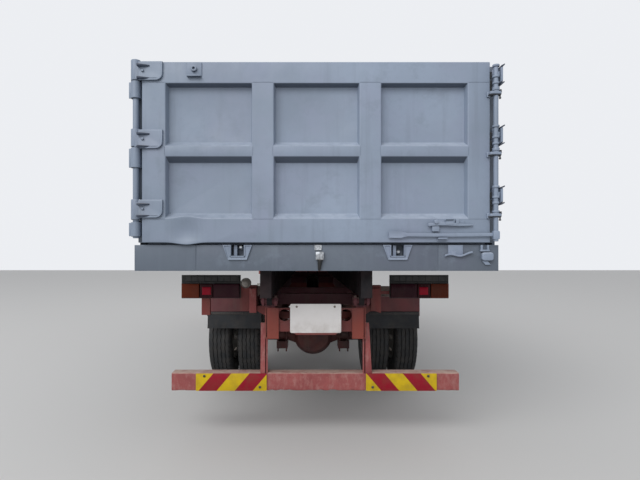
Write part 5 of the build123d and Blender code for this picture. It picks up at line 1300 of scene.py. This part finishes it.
# Side guards: hollow rails with plastic plugs in their ends, bolted to square posts. White enamel once,
# now grey with road film, and scraped through along the lower rail.
guard_paint = worn_paint("grey_white_enamel_on_rails", "b4b3ae", "9c9a94", "6b3f2a", 0.5, "6f655a", 0.65, 1.1,
                         0.5, 200)
dress(guard_paint, "side_guards")
guard_bolts = [hexagon("guard_bolt", 0.016, 0.010, (1.194, y + 0.015, z), (1, 0, 0))
               for y in (-0.840, 0.330, 1.740, 2.490) for z in (0.545, 0.785)]
plugs = [slab("rail_plug", (1.171, y, z + 0.002), (1.194, y + side * 0.006, z + 0.088), 0.002)
         for z in (0.500, 0.740) for y, side in ((-0.880, -1), (2.520, 1))]
settle("guard_bolts", both_sides([joined("bolts", guard_bolts)]), nut_steel, "chassis", "guard_paint")
settle("guard_rail_plugs", both_sides([joined("plugs", plugs)]), abs_plastic, "chassis", "guard_paint")

# Cab: pressed and welded sheet in deep red enamel that has chalked on its roof and carries dust low
# down. It stands on four pads; its seams, glass and doors are sealed with black rubber.
cab_enamel = worn_paint("chalked_red_enamel", "8a2c26", "7d3a33", "4a2a20", 0.12, "7a6a5c", 0.4, 1.9, 0.38,
                        700, 0.35)
dress(cab_enamel, "cab_shell", "door_left", "door_right")
on = Finish("black_seal_rubber")
seal_rubber = on.done(Base_Color=on.mixed(on.patches(60, 0.35, 0.7), "141517", "2a2a2a"), Roughness=0.6)

# Window glass: 6 mm tempered sheet with a slight green tint and a film of road dust, thicker low down.
# Light passes through it; the dust film dulls it a little towards its lower edge.
on = Finish("dusty_tempered_glass")
film_share = on.product(on.patches(350, 0.3, 0.75, 0.05, 0.2, detail=3, roughness=0.5),
                        on.between(on.axis("Z"), 1.75, 2.35, 1, 0.3))
glass = on.done(Base_Color=on.mixed(film_share, "c6d2cd", "9a948a"), IOR=1.5,
                Roughness=on.between(film_share, 0, 0.2, 0.0, 0.12),
                Transmission_Weight=on.between(film_share, 0, 0.2, 0.98, 0.86))
dress(glass, "cab_glass", "door_glass_left", "door_glass_right")


def gasket(outline, radius, width, stand, outward):
    """A rubber ring round a flat opening: corners rounded, drawn in by its width and out by its stand."""
    ring = drawn_line("gasket", outline + outline[:1])
    bpy.ops.mesh.remove_doubles(threshold=0.0001)
    bpy.ops.mesh.edge_face_add()
    bpy.ops.mesh.bevel(offset=radius, segments=5, affect="VERTICES")
    bpy.ops.mesh.select_all(action="SELECT")
    bpy.ops.mesh.normals_make_consistent(inside=False)
    if sum(face.normal.dot(Vector(outward)) for face in bmesh.from_edit_mesh(ring.data).faces) < 0:
        bpy.ops.mesh.flip_normals()
    bpy.ops.mesh.select_mode(type="FACE")
    bpy.ops.mesh.select_all(action="SELECT")
    bpy.ops.mesh.inset(thickness=width, depth=0)
    bpy.ops.mesh.delete(type="FACE")
    bpy.ops.mesh.select_all(action="SELECT")
    bpy.ops.mesh.extrude_region_move(TRANSFORM_OT_translate={"value": Vector(outward) * stand})
    bpy.ops.mesh.select_all(action="SELECT")
    bpy.ops.mesh.normals_make_consistent(inside=False)
    bpy.ops.object.mode_set(mode="OBJECT")
    return bevelled(ring, stand * 0.3, 2, 40)


def cab_side(y, z):
    """A point on the right side of the cab, which leans in above the waist."""
    return (1.149 - 0.0761 * (z - 1.700), y, z)


def cab_nose(x, z):
    """A point on the plane of the windscreen."""
    return (x, 4.351 - 0.2 * (z - 1.690), z)


def on_doors(names, piece, finish, slot):
    """Settle a piece on the right door and its mirror image on the left one."""
    for name, side, part in zip(names, ("right", "left"), both_sides([piece])):
        settle(name, [part], finish, f"cab_door_{side}", slot)


screen = gasket([cab_nose(x, z) for x,
                 z in ((-1.040, 1.750), (1.040, 1.750), (0.995, 2.440), (-0.995, 2.440))],
                0.07, 0.028, 0.006, (0, 0.98, 0.196))
back = gasket([(x, 2.561, z) for x, z in ((-0.530, 1.770), (0.530, 1.770), (0.530, 2.310), (-0.530, 2.310))],
              0.07, 0.026, 0.006, (0, -1, 0))
settle("cab_window_seals", [screen, back], seal_rubber, "chassis", "window_glass")
door = gasket([cab_side(y, z) for y, z in ((2.890, 1.740), (3.872, 1.740), (3.745, 2.380), (2.890, 2.380))],
              0.06, 0.024, 0.005, (0.997, 0, 0.076))
on_doors(("door_window_seal", "door_window_seal_left"), door, seal_rubber, "window_glass")

# Door handles: black moulded pull bars over a shallow dish, with a round lock barrel under each.
# They are screwed to the door from inside.
pull = inset(slab("pull", (1.136, 2.866, 1.584), (1.147, 3.004, 1.606)), facing(0, 1), (0.005, 0.001))
barrel = inset(rod("lock", 0.011, (1.140, 2.935, 1.545), (1.1525, 2.935, 1.545), 20), facing(0, 1),
               (0.003, -0.002))
on_doors(("door_pull_right", "door_pull_left"),
         joined("pull", [bevelled(pull, 0.003, 3), bevelled(barrel, 0.001, 1)]),
         abs_plastic, "cab_trim")

# Seats, dashboard and wheel: grey moulded plastic and woven cloth in one dark tone, as far as they can
# be seen through the glass. The weave is finer than a millimetre, but at this size it shows.
on = Finish("dark_cloth_and_plastic")
weave = on.node("TexWave", {"Vector": on.place, "Scale": 60.0, "Distortion": 1.5}).outputs["Fac"]
dress(on.done(Base_Color=on.mixed(on.patches(180, 0.35, 0.65), "2c2e33", "3a3a3c"), Roughness=0.8,
              Normal=on.bump(weave, 0.3, 0.0008)), "cab_interior")

# Grille and bumper: grained dark grey plastic, faded where the sun reaches it. The grille is one louvred
# moulding with upright bars set behind its slots.
on = Finish("grained_grey_plastic")
splash = on.product(on.between(on.axis("Z"), 0.4, 0.85, 0.7, 0.1), on.patches(90, 0.4, 0.68, detail=6))
tone = on.mixed(on.patches(400, 0.35, 0.65), "33363a", "44464a")
dress(on.done(Base_Color=on.mixed(splash, tone, "6d6257"), Roughness=on.patches(40, 0.3, 0.7, 0.5, 0.68),
              Normal=on.bump(on.cloud(3), 0.25, 0.0005)), "grille", "front_bumper")
dress(abs_plastic, "mirrors")
slats = [slab("slat", (x - 0.005, 4.386, 1.034), (x + 0.005, 4.394, 1.306), 0.001, 1)
         for x in (-0.520 + step * 0.130 for step in range(9))]
settle("grille_uprights", slats, abs_plastic, "chassis", "cab_trim")

# Headlamps: a dark moulded tub in the bumper with two bright dished reflectors and an amber lamp beside
# them, behind a clear cover with a soft edge.
tub = inset(slab("tub", (0.720, 4.400, 0.610), (1.010, 4.432, 0.770)), facing(1, 1), (0.008, 0),
            (0.004, -0.024))
settle("headlamp_tubs", both_sides([bevelled(tub, 0.003)]), abs_plastic, "chassis", "lamp_glass", "headlamps")
on = Finish("silvered_reflector")
silvered = on.done(Base_Color=on.mixed(on.patches(30, 0.4, 0.7), "d0d2d4", "a8a6a0"), Metallic=1,
                   Roughness=0.18)
bowls = [turned("bowl", [(0.012, radius), (0.014, radius - 0.004), (0.004, radius * 0.66),
                         (-0.004, radius * 0.25),
                         (0.006, radius * 0.16), (0.007, 0.0)], (x, 4.412, 0.690), 36, (0, 1, 0))
         for x, radius in ((0.795, 0.058), (0.905, 0.046))]
settle("headlamp_reflectors", both_sides([joined("bowls", bowls)]), silvered, "chassis", "lamp_glass")
amber = inset(slab("amber", (0.958, 4.408, 0.630), (0.996, 4.426, 0.750)), facing(1, 1), (0.004, 0.002))
settle("front_indicators", both_sides([bevelled(amber, 0.005, 3)]),
       lens_plastic("amber_lens", "b5641a", "8a4a14", 0.0), "chassis", "lamp_glass")
cover = rounded(slab("cover", (0.724, 4.428, 0.614), (1.006, 4.4325, 0.766)), 0.010,
                lambda a, b: abs(a.y - b.y) > 0.002)
settle("headlamp_covers", both_sides([bevelled(cover, 0.001)]), glass, "chassis", "lamp_glass")

# Mirror glasses: silvered panes set 2 mm proud of their housings' rear faces, with a rolled edge.
# A large pane stands over a small wide-angle one, both glued in.
panes = [slab("pane", (low, 4.2525, bottom), (high, 4.2565, top), 0.0015, 1)
         for low, high, bottom, top in ((1.222, 1.368, 1.900, 2.220), (1.232, 1.358, 1.678, 1.822))]
settle("mirror_panes", both_sides([joined("panes", panes)]), silvered, "chassis", "cab_trim")

# Wipers: two black arms on the windscreen's foot, each with a sprung blade at rest along the seal.
# Each arm turns on a pivot that comes through the sheet under the glass.
CLEAR = Vector((0, 0.012, 0))
wiper_parts = []
for x in (-0.62, 0.10):
    foot, tip = Vector(cab_nose(x, 1.735)) + CLEAR, Vector(cab_nose(x + 0.52, 1.800)) + Vector((0, 0.022, 0))
    inner, outer = (Vector(cab_nose(x + reach, 1.800 + rise)) + CLEAR
                    for reach, rise in ((0.20, -0.012), (0.80, 0.012)))
    wiper_parts += [rod("pivot", 0.016, foot - Vector((0, 0.020, 0)), foot + Vector((0, 0.010, 0)), 20, 0.002,
                        1),
                    rod("arm", 0.006, foot, tip, 10), rod("blade", 0.007, inner, outer, 6),
                    rod("link", 0.005, tip, inner.lerp(outer, 0.53), 8)]
settle("wipers", wiper_parts, abs_plastic, "chassis", "window_glass")

# Steps: chequered steel plates in the bumper's sides below the doors, with a raised rear edge.
# Their ribs are pressed up in rows and worn bright along the middle.
step_parts = []
for z in (0.562, 0.655):
    step_parts.append(slab("tread", (1.112, 3.942, z), (1.149, 4.198, z + 0.006), 0.0015, 1))
    step_parts += [slab("rib", (1.118, y, z + 0.005), (1.144, y + 0.006, z + 0.0085), 0.001, 1)
                   for y in (3.955 + row * 0.021 for row in range(12))]
settle("bumper_steps", both_sides([joined("steps", step_parts)]), nut_steel, "chassis", "cab_trim")
